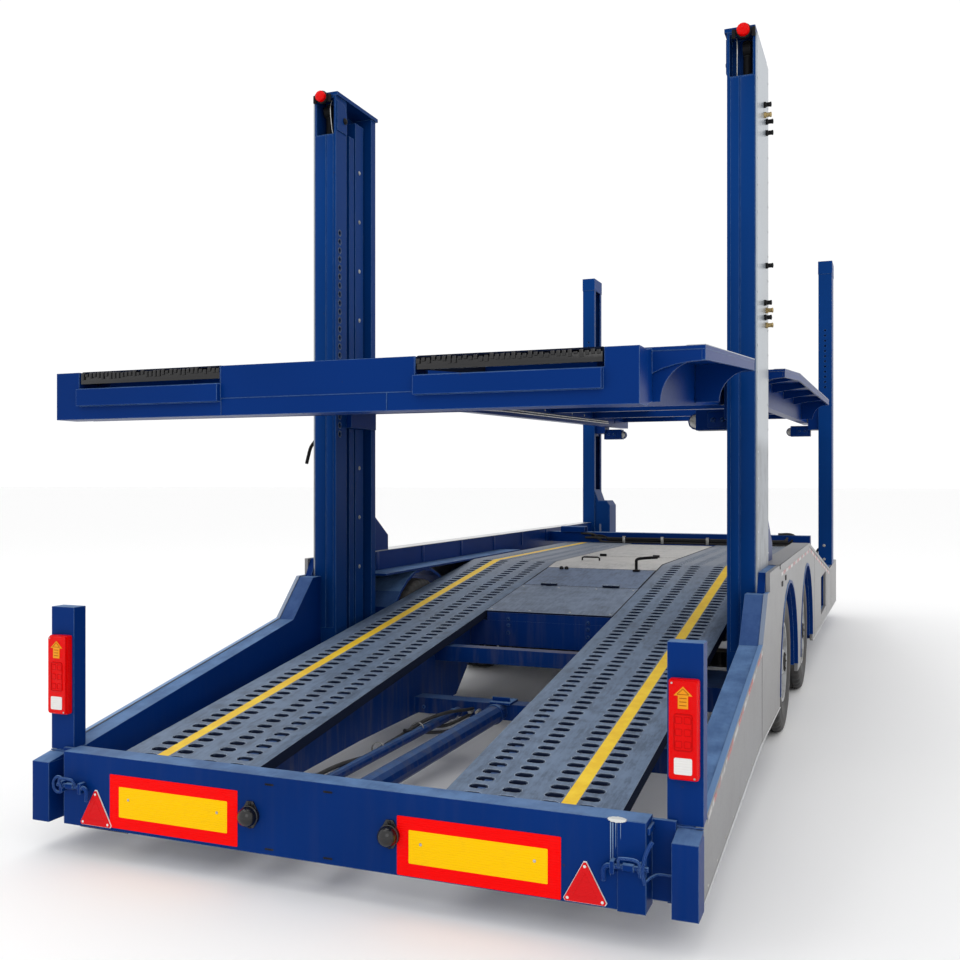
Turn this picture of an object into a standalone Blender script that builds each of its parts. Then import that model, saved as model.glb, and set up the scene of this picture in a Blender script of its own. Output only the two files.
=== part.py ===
"""Car transporter trailer: two centre axles, an upper deck on four lifting posts and a humped lower deck.

The model is in metres with +Z up and +Y forward. Its origin is on the ground, midway between the upper
deck's rear beam and the tip of the towing eye. Places along the trailer are stations: metres forward of
the rear crossmember's face. Each piece is one closed solid.
"""
import math

import bmesh
import bpy
from mathutils import Matrix

# Overall sizes and clearances
HALF_WIDTH = 1.275
REAR_OVERHANG = 0.07
SEAT = 0.0003
RUNNING_GAP = 0.008
INSET = 0.001

# Wheels, and the arches over them
TYRE_RADIUS = 0.395
TYRE_WIDTH = 0.240
TYRE_INSET = 0.027
RIM_RADIUS = 0.2246
HUB_BORE = 0.0558
HAND_HOLES = 8
HAND_HOLE_RADIUS = 0.021
HAND_HOLE_CIRCLE = 0.158
WHEEL_STEPS = 24
AXLE_Z = TYRE_RADIUS
AXLE_RADIUS = 0.055
WHEEL_CENTRE_X = HALF_WIDTH - TYRE_INSET - TYRE_WIDTH / 2
ARCH_CLEARANCE = 0.15
ARCH_RADIUS = TYRE_RADIUS + ARCH_CLEARANCE
ARCH_WALL = 0.018
ARCH_DROP = 0.095
ARCH_Z = AXLE_Z - ARCH_DROP
ARCH_TOP = ARCH_Z + ARCH_RADIUS + ARCH_WALL
ARCH_STEPS = 14

# Widths, each from the one outside it
PANEL_WALL = 0.020
RAIL_OUTER = HALF_WIDTH - 0.025
RAIL_WIDTH = 0.086
RAIL_INNER = RAIL_OUTER - RAIL_WIDTH
CORNER_INNER = HALF_WIDTH - 0.081
CROSSMEMBER_HALF = CORNER_INNER - 0.075
POST_OUTER = RAIL_OUTER - 0.046
POST_WIDTH = 0.134
POST_INNER = POST_OUTER - POST_WIDTH
FRONT_POST_OUTER = HALF_WIDTH - 0.008
FRONT_POST_WIDTH = 0.127
FRONT_POST_INNER = FRONT_POST_OUTER - FRONT_POST_WIDTH
TRACK_OUTER = WHEEL_CENTRE_X - TYRE_WIDTH / 2 - RUNNING_GAP
TRACK_WIDTH = 0.625
TRACK_INNER = TRACK_OUTER - TRACK_WIDTH
BEAM_INNER = TRACK_INNER + 0.095
BEAM_WIDTH = 0.090
BEAM_OUTER = BEAM_INNER + BEAM_WIDTH
BOX_HALF = TRACK_INNER - 0.009
UPPER_BEAM_OUTER = POST_INNER - 0.040
UPPER_BEAM_WIDTH = 0.080
UPPER_BEAM_INNER = UPPER_BEAM_OUTER - UPPER_BEAM_WIDTH
UPPER_REAR_HALF = UPPER_BEAM_OUTER + 0.079
UPPER_TRACK_OUTER = UPPER_BEAM_INNER + 0.050
UPPER_TRACK_INNER = UPPER_TRACK_OUTER - TRACK_WIDTH
CARRIAGE_INNER = UPPER_BEAM_OUTER + RUNNING_GAP

# Stations along the trailer, each from the one behind it
CROSSMEMBER_DEPTH = 0.092
CORNER_DEPTH = 0.100
TRACK_START = CROSSMEMBER_DEPTH + 0.0033
SKIRT_RISE_END = 1.65
POST_START = 2.05
POST_LENGTH = 0.49
POST_END = POST_START + POST_LENGTH
GUSSET_START = POST_START - 0.30
GUSSET_CREST = POST_START - 0.09
REAR_AXLE = POST_END + 0.007 + ARCH_RADIUS + ARCH_WALL
ARCH_GAP = 0.234
FRONT_AXLE = REAR_AXLE + 2 * (ARCH_RADIUS + ARCH_WALL) + ARCH_GAP
WALL_HUMP_END = FRONT_AXLE + 0.19
HUMP_START = REAR_AXLE + 0.86
HUMP_LENGTH = 2.38
HUMP_END = HUMP_START + HUMP_LENGTH
BOX_START = POST_END + 0.04
COVER_END = HUMP_END - 0.15
LID_START = BOX_START + 0.67
LID_LENGTH = 0.53
LID_END = LID_START + LID_LENGTH
FRONT_SLOPE_LENGTH = 1.75
WELL_START = HUMP_END + FRONT_SLOPE_LENGTH
WELL_LENGTH = 0.60
WELL_END = WELL_START + WELL_LENGTH
FRONT_POST_START = WELL_START - 0.20
FRONT_POST_LENGTH = 0.30
FRONT_POST_END = FRONT_POST_START + FRONT_POST_LENGTH
NOTCH = FRONT_POST_START - 0.55
LEG_STATION = WELL_END + 0.12
DRAWBAR_ROOT = FRONT_POST_START - 0.52
DRAWBAR_REACH = 1.92
EYE_TIP = WELL_END + DRAWBAR_REACH

# Heights of the lower deck, which climbs to a flat hump over the axles and drops to the front well
DECK_TAIL_Z = 0.3275
HUMP_Z = ARCH_TOP - 0.0035
WELL_Z = 0.44
WALL_TOP = ARCH_TOP + 0.122
NOTCH_Z = WELL_Z + 0.16
CROSSMEMBER_BOTTOM = 0.115
CROSSMEMBER_TOP = DECK_TAIL_Z + 0.0625
CORNER_BOTTOM = 0.109
CORNER_TOP = 0.339
RAIL_TAIL_Z = 0.3385
RAIL_RISE = 0.1946
GUSSET_TOP = WALL_TOP - 0.097
PANEL_LIP = 0.006
SKIRT_TAIL_Z = 0.112
SKIRT_Z = 0.25
SKIRT_DROP = 0.08
BEAM_LOW_Z = 0.220
BEAM_AXLE_Z = AXLE_Z + 0.135

# Lower track
TRACK_PLATE = 0.010
TRACK_FOLD = 0.045
TRACK_FOLD_WALL = 0.008

# Opening for stowage in a side panel, ahead of the arches
HATCHWAY_START = WALL_HUMP_END + 1.39
HATCHWAY_LENGTH = 0.70
HATCHWAY_RISE = 0.12
HATCHWAY_HEIGHT = 0.31
HATCHWAY_DEPTH = 0.040

# Brace plate from each rear post's front down to the deck wall
BRACE_TOP = 1.34
BRACE_SHOULDER = 1.08
BRACE_REACH = 0.40
BRACE_X = RAIL_INNER + 0.016
BRACE_PLATE = 0.012

# Lamp posts on the side rails, behind the corner blocks
LAMP_POST_INNER = HALF_WIDTH - 0.113
LAMP_POST_OUTER = HALF_WIDTH - 0.0015
LAMP_POST_TOP = 0.925
LAMP_POST_DEPTH = 0.065
LAMP_POST_START = CORNER_DEPTH + 0.001
TAIL_LAMP_LOW = 0.508
TAIL_LAMP_HEIGHT = 0.308
TAIL_LAMP_DEPTH = 0.035
BUFFER_X = 0.275
BUFFER_Z = 0.238
BUFFER_RADIUS = 0.044
BUFFER_LENGTH = 0.060

# Tubes in the open well behind the crossbars: X, height, radius
WELL_TUBES = ((-0.01, 0.270, 0.045), (-0.23, 0.255, 0.022))
WELL_TUBE_END = 1.85

# Rear lifting posts
POST_TOP = 3.585
POST_CAP = 0.018
POST_FOOT_Z = 0.42
POST_WEB = 0.010
POST_BOX_DEPTH = 0.125
POST_BOX_WALL = 0.010
POST_GUIDE_FACE = POST_INNER + 0.030
# Guide bars on the post's web: start, end, top
POST_GUIDES = ((POST_START + 0.215, POST_START + 0.271, 3.42), (POST_START + 0.290, POST_START + 0.388, 3.52))
POST_FRONT_DEPTH = 0.055
POST_WINDOW = 0.215
POST_WINDOW_MARGIN = 0.012
POST_HOLE_TOP = 2.82
POST_HOLE_PITCH = 0.0492
POST_HOLE_COUNT = 24
POST_HOLE_RADIUS = 0.0135
POST_HOLE_STATION = POST_START + 0.045
CLADDING_WALL = 0.008
POST_LAMP_RADIUS = 0.030

# Front lifting posts
FRONT_POST_TOP = 3.60
FRONT_POST_WALL = 0.010
FRONT_POST_SLOT = 0.055
FRONT_HOLE_TOP = 2.92
FRONT_HOLE_PITCH = 0.051
FRONT_HOLE_COUNT = 12
FRONT_HOLE_RADIUS = 0.012
LOCK_BOX_WIDTH = 0.165
LOCK_BOX_LOW = 0.75
LOCK_BOX_TOP = 1.22

# Drawbar and support legs
DRAWBAR_HALF = 0.080
DRAWBAR_TOP = 0.330
DRAWBAR_BOTTOM = 0.190
EYE_RADIUS = 0.075
EYE_BORE = 0.026
EYE_THICK = 0.045
LEG_X = TRACK_OUTER
LEG_TUBE = 0.045
LEG_FOOT = 0.090
CRANK_Z = 0.47

# Covers over the hump's box
COVER_PLATE = 0.008
HINGE_X = 0.20
HINGE_RADIUS = 0.011
KNUCKLE = 0.034

# Upper deck: stations and heights of its top line
UPPER_LINE = ((-REAR_OVERHANG, 1.825), (HUMP_START - 0.17, 2.100), (WELL_END - 0.04, 2.210))
UPPER_REAR_BOTTOM = 1.650
UPPER_REAR_DEPTH = 0.130
UPPER_NOTCH_Z = 0.060
UPPER_LEDGE = 0.022
UPPER_BEAM_DEPTH = 0.185
UPPER_PLATE = 0.010
WING_EDGE_DEPTH = 0.045
WING_WALL = 0.012
WINGS = {"rear": (0.13, POST_START - 0.65), "front": (POST_END + 0.24, FRONT_POST_START - 0.70)}
CROSS_FIRST = 0.62
CROSS_PITCH = 1.40
CROSS_DEPTH = 0.110
CROSS_WIDTH = 0.080

# Carriages that lift the upper deck
FRONT_PIN = FRONT_POST_START + FRONT_POST_LENGTH / 2
REAR_PIN = POST_START + 0.37
PIN_DROP = 0.115
PIN_RADIUS = 0.028
PIN_STEPS = 24
REAR_PIN_TRAVEL = 0.035
CARRIAGE_HALF_HEIGHT = 0.16
ARM_DROP = 0.212
ARM_DEPTH = 0.105
ARM_HALF = 0.055
ARM_REACH = 0.17
ROLLER_RADIUS = 0.062
ROLLER_WIDTH = 0.060

# Crossbars between the main beams: start, length, bottom, height, half length
CROSSBARS = (
    (POST_START, 0.080, POST_FOOT_Z + 0.040, 0.080, BEAM_INNER + 0.030),
    (WELL_TUBE_END - 0.050, 0.100, 0.230, 0.080, BEAM_INNER + 0.030),
    (HUMP_END + 0.250, 0.120, 0.300, 0.120, BEAM_INNER + 0.030),
    (DRAWBAR_ROOT + 0.020, 0.150, DRAWBAR_TOP, 0.064, BEAM_INNER + 0.030),
    (WELL_END - 0.150, 0.145, DRAWBAR_TOP, 0.064, RAIL_INNER - 0.004),
)

# Outriggers from the main beams to the side rails: start, length, bottom, height
OUTRIGGERS = (
    (POST_START / 2, 0.100, 0.260, 0.100),
    (POST_START, POST_LENGTH, POST_FOOT_Z - 0.120, 0.120 - SEAT),
    (FRONT_AXLE + ARCH_RADIUS + 0.300, 0.120, HUMP_Z - 0.240, 0.120),
    (HUMP_END + 0.200, 0.120, HUMP_Z - 0.360, 0.120),
    (FRONT_POST_START + 0.020, FRONT_POST_LENGTH - 0.040, WELL_Z - 0.200, 0.100),
)
OUTRIGGER_ROOT = 0.020

# Trailing arms: their hangers' stations behind the axle, and the arm, air spring and brake drum
HANGER_FOOT = (0.520, 0.400)
HANGER_HEAD = (0.600, 0.360)
HANGER_LAP = 0.020
ARM_BEHIND = 0.398
ARM_AHEAD = 0.270
TRAILING_ARM_HALF = 0.035
TRAILING_ARM_LOW = 0.065
TRAILING_ARM_TOP = 0.020
SPRING_AHEAD = 0.190
SPRING_RADIUS = 0.085
SPRING_LAP = 0.030
DRUM_RADIUS = 0.090
DRUM_WIDTH = 0.050
DRUM_INSET = 0.053
STUB_LENGTH = 0.094

# Main beams' lower edge: stations where it steps up over the axles
BEAM_TAIL_DEPTH = 0.140
BEAM_TAIL_LENGTH = 1.100
BEAM_STEP_REAR = (0.750, 0.350)
BEAM_STEP_FRONT = (0.350, 0.850)

# Locker under the hump, the hatch's gaps and the beam across the hump's front
LOCKER_WALL = 0.008
LOCKER_DEPTH = 0.200
LOCKER_END = COVER_END - 0.020
COVER_GAP = 0.003
LID_MARGIN = 0.005
KNUCKLE_SINK = 0.004
CROSSBEAM_START = HUMP_END + 0.020
CROSSBEAM_DEPTH = 0.110
CROSSBEAM_LOW = HUMP_Z + 0.004
CROSSBEAM_TOP = HUMP_Z + 0.095

# Support legs: heights of the tube, the ram and the foot, the bracket, and the folded crank
LEG_TUBE_Z = (0.160, 0.560)
LEG_RAM_WALL = 0.012
LEG_RAM_Z = (0.010, 0.200)
LEG_FOOT_PLATE = 0.014
LEG_BRACKET_HALF = 0.030
LEG_BRACKET_Z = (0.335, 0.390)
CRANK_REACH = 0.075
CRANK_DROP = 0.175
CRANK_BAR = 0.010
CRANK_GRIP = 0.090

# Drawbar's taper and the eye's shank
DRAWBAR_TAPER = 0.90
DRAWBAR_NECK = 0.10
DRAWBAR_NECK_HALF = 0.050
SHANK_LENGTH = 0.150

PARTS = "car_transporter_trailer"
CUTTERS = "cutters"
SIDES = {"left": -1, "right": 1}


def along(station):
    """Return the model's Y of a station."""
    return station - (EYE_TIP - REAR_OVERHANG) / 2


def on_line(line, station):
    """Return the height of a broken line of (station, height) at a station."""
    for (start, low), (end, high) in zip(line, line[1:]):
        if station <= end:
            return low + (high - low) * (station - start) / (end - start)
    return line[-1][1]


AXLE_STATIONS = {"rear": REAR_AXLE, "front": FRONT_AXLE}
DECK_LINE = ((0.0, DECK_TAIL_Z), (HUMP_START, HUMP_Z), (HUMP_END, HUMP_Z), (WELL_START, WELL_Z),
             (WELL_END, WELL_Z))

COLOURS = {
    # finish: (red, green, blue, roughness, metallic)
    "blue_paint": (0.010, 0.050, 0.190, 0.38, 0.0),
    "grey_track": (0.150, 0.190, 0.260, 0.50, 0.3),
    "silver_panel": (0.560, 0.570, 0.580, 0.35, 0.8),
    "rubber": (0.020, 0.020, 0.022, 0.80, 0.0),
    "lamp_red": (0.640, 0.015, 0.020, 0.22, 0.0),
    "wheel_steel": (0.480, 0.490, 0.500, 0.45, 0.6),
    "axle_black": (0.030, 0.030, 0.035, 0.55, 0.2),
}

PLANES = {
    # plane: where the outline's own x, y and thickness point, as rows of a rotation
    "side": ((0, 0, 1), (1, 0, 0), (0, 1, 0)),
    "front": ((1, 0, 0), (0, 0, -1), (0, 1, 0)),
    "plan": ((1, 0, 0), (0, 1, 0), (0, 0, 1)),
}


def clear_scene():
    """Remove every object and make the two collections."""
    for existing in list(bpy.data.objects):
        bpy.data.objects.remove(existing, do_unlink=True)
    for name in (PARTS, CUTTERS):
        group = bpy.data.collections.new(name)
        bpy.context.scene.collection.children.link(group)


def finish(name):
    """Return the material of a finish, made once."""
    material = bpy.data.materials.get(name)
    if material is None:
        red, green, blue, roughness, metallic = COLOURS[name]
        material = bpy.data.materials.new(name)
        material.use_nodes = True
        shader = material.node_tree.nodes["Principled BSDF"]
        shader.inputs["Base Color"].default_value = (red, green, blue, 1.0)
        shader.inputs["Roughness"].default_value = roughness
        shader.inputs["Metallic"].default_value = metallic
    return material


def place(piece, name, coat):
    """Name a finished piece, give it its finish and keep it in the parts' collection."""
    piece.name = name
    piece.display_type = "TEXTURED"
    piece.hide_render = False
    piece.data.materials.clear()
    piece.data.materials.append(finish(coat))
    for group in list(piece.users_collection):
        group.objects.unlink(piece)
    bpy.data.collections[PARTS].objects.link(piece)
    return piece


def work_object(data):
    """Return a new object on the cutters' collection, drawn as wire and never rendered."""
    piece = bpy.data.objects.new("shape", data)
    piece.display_type = "WIRE"
    piece.hide_render = True
    bpy.data.collections[CUTTERS].objects.link(piece)
    return piece


def settle(piece):
    """Replace an object's data with the welded mesh that it evaluates to, with its faces outwards."""
    bpy.context.view_layer.update()
    evaluated = piece.evaluated_get(bpy.context.evaluated_depsgraph_get())
    mesh = bpy.data.meshes.new_from_object(evaluated)
    cage = bmesh.new()
    cage.from_mesh(mesh)
    bmesh.ops.remove_doubles(cage, verts=cage.verts, dist=0.00001)
    bmesh.ops.recalc_face_normals(cage, faces=cage.faces)
    cage.to_mesh(mesh)
    cage.free()
    mesh.transform(piece.matrix_world)
    bpy.data.objects.remove(piece, do_unlink=True)
    return work_object(mesh)


def sheet(loops, plane, low, high):
    """Return a flat solid: closed 2D loops, the first one outside, from low to high across their plane."""
    curve = bpy.data.curves.new("outline", "CURVE")
    curve.dimensions = "2D"
    curve.fill_mode = "BOTH"
    curve.extrude = (high - low) / 2
    for loop in loops:
        spline = curve.splines.new("POLY")
        spline.points.add(len(loop) - 1)
        spline.use_cyclic_u = True
        for point, (across, up) in zip(spline.points, loop):
            point.co = (across, up, 0.0, 1.0)
    piece = work_object(curve)
    turn = Matrix(PLANES[plane]).to_4x4()
    normal = turn.to_3x3().col[2]
    piece.matrix_world = Matrix.Translation(normal * (low + high) / 2) @ turn
    return settle(piece)


def side_sheet(points, inner, outer):
    """Return a solid from (station, height) points, between two X places of either sign."""
    loop = [(along(station), height) for station, height in points]
    return sheet([loop], "side", min(inner, outer), max(inner, outer))


def block(x_low, x_high, start, end, z_low, z_high):
    """Return a box between two X places, two stations and two heights."""
    cage = bmesh.new()
    bmesh.ops.create_cube(cage, size=1.0)
    size = Matrix.Diagonal((abs(x_high - x_low), end - start, z_high - z_low, 1.0))
    centre = ((x_low + x_high) / 2, along((start + end) / 2), (z_low + z_high) / 2)
    cage.transform(Matrix.Translation(centre) @ size)
    mesh = bpy.data.meshes.new("block")
    cage.to_mesh(mesh)
    cage.free()
    return work_object(mesh)


def bar(axis, centre, radius, length, steps=16):
    """Return a round bar about X, Y or Z, centred on (x, station, z)."""
    turns = {"X": Matrix.Rotation(math.pi / 2, 4, "Y"), "Y": Matrix.Rotation(math.pi / 2, 4, "X"),
             "Z": Matrix.Identity(4)}
    x, station, z = centre
    cage = bmesh.new()
    bmesh.ops.create_cone(cage, cap_ends=True, segments=steps, radius1=radius, radius2=radius, depth=length)
    cage.transform(Matrix.Translation((x, along(station), z)) @ turns[axis])
    mesh = bpy.data.meshes.new("bar")
    cage.to_mesh(mesh)
    cage.free()
    return work_object(mesh)


def turned(profile, closed):
    """Return a solid turned about X from (x, radius) points."""
    mesh = bpy.data.meshes.new("profile")
    count = len(profile)
    edges = [(index, (index + 1) % count) for index in range(count if closed else count - 1)]
    mesh.from_pydata([(x, radius, 0.0) for x, radius in profile], edges, [])
    piece = work_object(mesh)
    screw = piece.modifiers.new("turn", "SCREW")
    screw.axis = "X"
    screw.steps = WHEEL_STEPS
    screw.render_steps = WHEEL_STEPS
    screw.use_merge_vertices = True
    screw.merge_threshold = 0.00001
    return settle(piece)


def combine(body, others, operation):
    """Join or cut a body with other solids by exact Booleans, and return the new solid."""
    for other in others:
        step = body.modifiers.new("step", "BOOLEAN")
        step.operation = operation
        step.solver = "EXACT"
        step.object = other
    solid = settle(body)
    for other in others:
        bpy.data.objects.remove(other, do_unlink=True)
    return solid


def join(body, *others):
    """Return one solid from several that overlap."""
    return combine(body, others, "UNION")


def cut(body, *others):
    """Return a body with other solids taken out of it."""
    return combine(body, others, "DIFFERENCE")


def arc(centre, radius, start, end, steps):
    """Return the points of an arc between two angles in degrees."""
    angles = [math.radians(start + (end - start) * step / steps) for step in range(steps + 1)]
    return [(centre[0] + radius * math.cos(angle), centre[1] + radius * math.sin(angle)) for angle in angles]


def rail_z(station):
    """Return the height of a side rail's top flange behind the lifting post."""
    return RAIL_TAIL_Z + RAIL_RISE * station


def skirt_z(station):
    """Return the height of the lower edge of a side."""
    return on_line(((0.0, SKIRT_TAIL_Z), (SKIRT_RISE_END, SKIRT_Z), (WELL_END, SKIRT_Z - SKIRT_DROP)),
                   station)


def wall_top_points(side):
    """Return the (station, height) points of a side's top edge ahead of the lifting post, front first."""
    if side == "right":
        return [(WELL_END, NOTCH_Z), (NOTCH, NOTCH_Z), (WALL_HUMP_END, WALL_TOP)]
    return [(WELL_END, NOTCH_Z), (FRONT_POST_START - RUNNING_GAP, NOTCH_Z),
            (FRONT_POST_START - 0.05, WALL_TOP)]


def build_crossmember():
    """Rear crossmember: a deep box face with a set-back web that reaches the side rails."""
    face = block(-CROSSMEMBER_HALF, CROSSMEMBER_HALF, 0.0, CROSSMEMBER_DEPTH, CROSSMEMBER_BOTTOM,
                 CROSSMEMBER_TOP)
    back_half = CORNER_INNER - SEAT
    back = block(-back_half, back_half, CROSSMEMBER_DEPTH - 0.012, TRACK_START - SEAT,
                 CROSSMEMBER_BOTTOM + 0.015, CROSSMEMBER_TOP - 0.011)
    place(join(face, back), "rear_crossmember", "blue_paint")


def lamp_post(sign):
    """Return the solids of a lamp post: the post, and the foot that seats it in the side rail."""
    start, end = LAMP_POST_START, LAMP_POST_START + LAMP_POST_DEPTH
    lift = PANEL_LIP + SEAT
    post = side_sheet([(start, rail_z(start) + lift), (end, rail_z(end) + lift), (end, LAMP_POST_TOP),
                       (start, LAMP_POST_TOP)], sign * LAMP_POST_INNER, sign * LAMP_POST_OUTER)
    foot = block(sign * (RAIL_INNER + INSET), sign * (RAIL_OUTER - INSET), start + INSET, end - INSET,
                 rail_z(start) - LAMP_POST_DEPTH, rail_z(end) + LAMP_POST_DEPTH)
    return [post, foot]


def build_side_rail(side):
    """Side rail: corner block, lamp post, sloping tail with a gusset, plate past the post and deck wall."""
    sign = SIDES[side]
    arch_clear = ARCH_TOP + SEAT
    post_start, post_end = POST_START - SEAT, POST_END + SEAT
    overlap = 0.03
    tail = side_sheet([(TRACK_START, skirt_z(TRACK_START)), (SKIRT_RISE_END, SKIRT_Z), (post_start, SKIRT_Z),
                       (post_start, GUSSET_TOP), (GUSSET_CREST, GUSSET_TOP),
                       (GUSSET_START, rail_z(GUSSET_START)), (TRACK_START, rail_z(TRACK_START))],
                      sign * RAIL_INNER, sign * RAIL_OUTER)
    corner = block(sign * CORNER_INNER, sign * HALF_WIDTH, INSET, CORNER_DEPTH, CORNER_BOTTOM + INSET,
                   CORNER_TOP - INSET)
    plate = side_sheet([(post_start - overlap, SKIRT_Z + INSET), (POST_END, SKIRT_Z + INSET),
                        (POST_END, arch_clear), (post_end + overlap, arch_clear),
                        (post_end + overlap, WALL_TOP - INSET), (post_start + overlap, WALL_TOP - INSET),
                        (post_start - overlap, GUSSET_TOP - INSET)],
                       sign * (POST_OUTER + CLADDING_WALL + 2 * SEAT), sign * (RAIL_OUTER - INSET))
    last = FRONT_AXLE + ARCH_RADIUS + ARCH_WALL + 0.1
    wall = side_sheet([(post_end, arch_clear), (last, arch_clear), (last, SKIRT_Z),
                       (WELL_END, skirt_z(WELL_END))] + wall_top_points(side) + [(post_end, WALL_TOP)],
                      sign * RAIL_INNER, sign * RAIL_OUTER)
    brace = side_sheet([(post_end, WALL_TOP - overlap), (POST_END + BRACE_REACH, WALL_TOP - overlap),
                        (POST_END + BRACE_REACH - INSET, BRACE_SHOULDER), (post_end, BRACE_TOP)],
                       sign * BRACE_X, sign * (BRACE_X + BRACE_PLATE))
    solid = join(tail, corner, plate, wall, brace, *lamp_post(sign))
    place(cut(solid, *hatchway(sign)), "side_rail_" + side, "blue_paint")


def hatchway(sign):
    """Return the cutter of the stowage opening through a side, ahead of the arches."""
    start = HATCHWAY_START
    low = skirt_z(start) + HATCHWAY_RISE
    return [block(sign * (RAIL_OUTER - HATCHWAY_DEPTH), sign * (HALF_WIDTH + 0.01), start,
                  start + HATCHWAY_LENGTH, low, low + HATCHWAY_HEIGHT)]


def arch_points(station, radius):
    """Return the points of one wheel arch, over the axle from front to rear."""
    return arc((station, ARCH_Z), radius, 0, 180, ARCH_STEPS)


def build_side_panel(side):
    """Outer side panel with two wheel arches, level over the hump and lower at the front."""
    sign = SIDES[side]
    radius = ARCH_RADIUS + ARCH_WALL + SEAT
    lower = [(CORNER_DEPTH + SEAT, SKIRT_TAIL_Z), (SKIRT_RISE_END, SKIRT_Z)]
    for station in AXLE_STATIONS.values():
        lower.append((station - radius, SKIRT_Z))
        lower += reversed(arch_points(station, radius))
        lower.append((station + radius, SKIRT_Z))
    lower.append((WELL_END, skirt_z(WELL_END)))
    upper = wall_top_points(side) + [
        (POST_START, WALL_TOP), (POST_START, GUSSET_TOP + PANEL_LIP), (GUSSET_CREST, GUSSET_TOP + PANEL_LIP),
        (GUSSET_START, rail_z(GUSSET_START) + PANEL_LIP),
        (CORNER_DEPTH + SEAT, rail_z(CORNER_DEPTH) + PANEL_LIP)]
    inner = RAIL_OUTER + SEAT
    panel = side_sheet(lower + upper, sign * inner, sign * (inner + PANEL_WALL))
    place(cut(panel, *hatchway(sign)), "side_panel_" + side, "silver_panel")


def build_wheel_arch(side):
    """Double wheel arch: an arched liner from the track to the panel, with a flat cover beside the deck."""
    sign = SIDES[side]
    low = ARCH_Z - 0.010
    bridge = ARCH_RADIUS + ARCH_WALL
    outer, inner = [(REAR_AXLE - bridge, low)], []
    for station in AXLE_STATIONS.values():
        outer += reversed(arch_points(station, bridge))
        inner += [(station - ARCH_RADIUS, low)] + arch_points(station, ARCH_RADIUS)[::-1]
        inner += [(station + ARCH_RADIUS, low)]
    outer.append((FRONT_AXLE + bridge, low))
    liner = side_sheet(outer + inner[::-1], sign * (TRACK_OUTER + RUNNING_GAP), sign * RAIL_OUTER)
    rims = []
    for station in AXLE_STATIONS.values():
        ring = arch_points(station, bridge - INSET) + arch_points(station, ARCH_RADIUS + INSET)[::-1]
        rims.append(side_sheet(ring, sign * (RAIL_OUTER - 0.02), sign * HALF_WIDTH))
    cover = block(sign * (TRACK_OUTER + SEAT), sign * (RAIL_INNER - SEAT), REAR_AXLE - bridge,
                  FRONT_AXLE + bridge, ARCH_TOP - 0.008, ARCH_TOP + 0.004)
    place(join(liner, cover, *rims), "wheel_arch_" + side, "blue_paint")


def build_track(side):
    """Lower track: one plate with folded edges that follows the deck's line over the hump."""
    sign = SIDES[side]
    line = [TRACK_START] + [station for station, height in DECK_LINE[1:-1]] + [WELL_END]
    top = [(station, on_line(DECK_LINE, station)) for station in line]
    plate_low = [(station, height - TRACK_PLATE) for station, height in reversed(top)]
    fold_top = [(station, height - TRACK_PLATE / 2) for station, height in top]
    fold_top[0] = (TRACK_START + INSET, fold_top[0][1])
    fold_top[-1] = (WELL_END - INSET, fold_top[-1][1])
    fold_low = [(station, height - TRACK_FOLD + TRACK_PLATE / 2) for station, height in reversed(fold_top)]
    plate = side_sheet(top + plate_low, sign * TRACK_INNER, sign * TRACK_OUTER)
    middles = (TRACK_INNER + INSET + TRACK_FOLD_WALL / 2, TRACK_OUTER - INSET - TRACK_FOLD_WALL / 2)
    folds = [side_sheet(fold_top + fold_low, sign * (middle - TRACK_FOLD_WALL / 2),
                        sign * (middle + TRACK_FOLD_WALL / 2)) for middle in middles]
    place(join(plate, *folds), "lower_track_" + side, "grey_track")


def beam_top(station):
    """Return the height of the main beams' top, which carries the tracks."""
    return on_line(DECK_LINE, station) - TRACK_PLATE - SEAT


def build_main_frame():
    """Ladder frame: main beams, crossbars, outriggers, the arms' hangers and the two tubes in the well."""
    tail = TRACK_START
    lower = [(tail, DECK_TAIL_Z - BEAM_TAIL_DEPTH), (tail + BEAM_TAIL_LENGTH, BEAM_LOW_Z),
             (REAR_AXLE - BEAM_STEP_REAR[0], BEAM_LOW_Z), (REAR_AXLE - BEAM_STEP_REAR[1], BEAM_AXLE_Z),
             (FRONT_AXLE + BEAM_STEP_FRONT[0], BEAM_AXLE_Z), (FRONT_AXLE + BEAM_STEP_FRONT[1], BEAM_LOW_Z),
             (WELL_END, BEAM_LOW_Z)]
    upper = [(station, beam_top(station)) for station in (WELL_END, WELL_START, HUMP_END, HUMP_START, tail)]
    beams = [side_sheet(lower + upper, sign * BEAM_INNER, sign * BEAM_OUTER) for sign in SIDES.values()]
    pieces = [block(-half, half, start, start + length, low, low + height)
              for start, length, low, height, half in CROSSBARS]
    for sign in SIDES.values():
        for start, length, low, height in OUTRIGGERS:
            pieces.append(block(sign * (BEAM_OUTER - OUTRIGGER_ROOT), sign * (RAIL_INNER - SEAT), start,
                                start + length, low, low + height))
        for station in AXLE_STATIONS.values():
            hanger = [(station - back, AXLE_Z - HANGER_LAP) for back in HANGER_FOOT]
            hanger += [(station - back, BEAM_AXLE_Z + HANGER_LAP) for back in reversed(HANGER_HEAD)]
            pieces.append(side_sheet(hanger, sign * (BEAM_INNER + INSET), sign * (BEAM_OUTER - INSET)))
    place(join(beams[0], *beams[1:], *pieces, *well_tubes()), "main_frame", "blue_paint")


def well_tubes():
    """Return the two tubes that run from the rear crossmember to the crossbar in the open well."""
    tubes = []
    for x, height, radius in WELL_TUBES:
        start = TRACK_START + INSET
        tubes.append(bar("Y", (x, (start + WELL_TUBE_END) / 2, height), radius, WELL_TUBE_END - start, 12))
    return tubes


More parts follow.
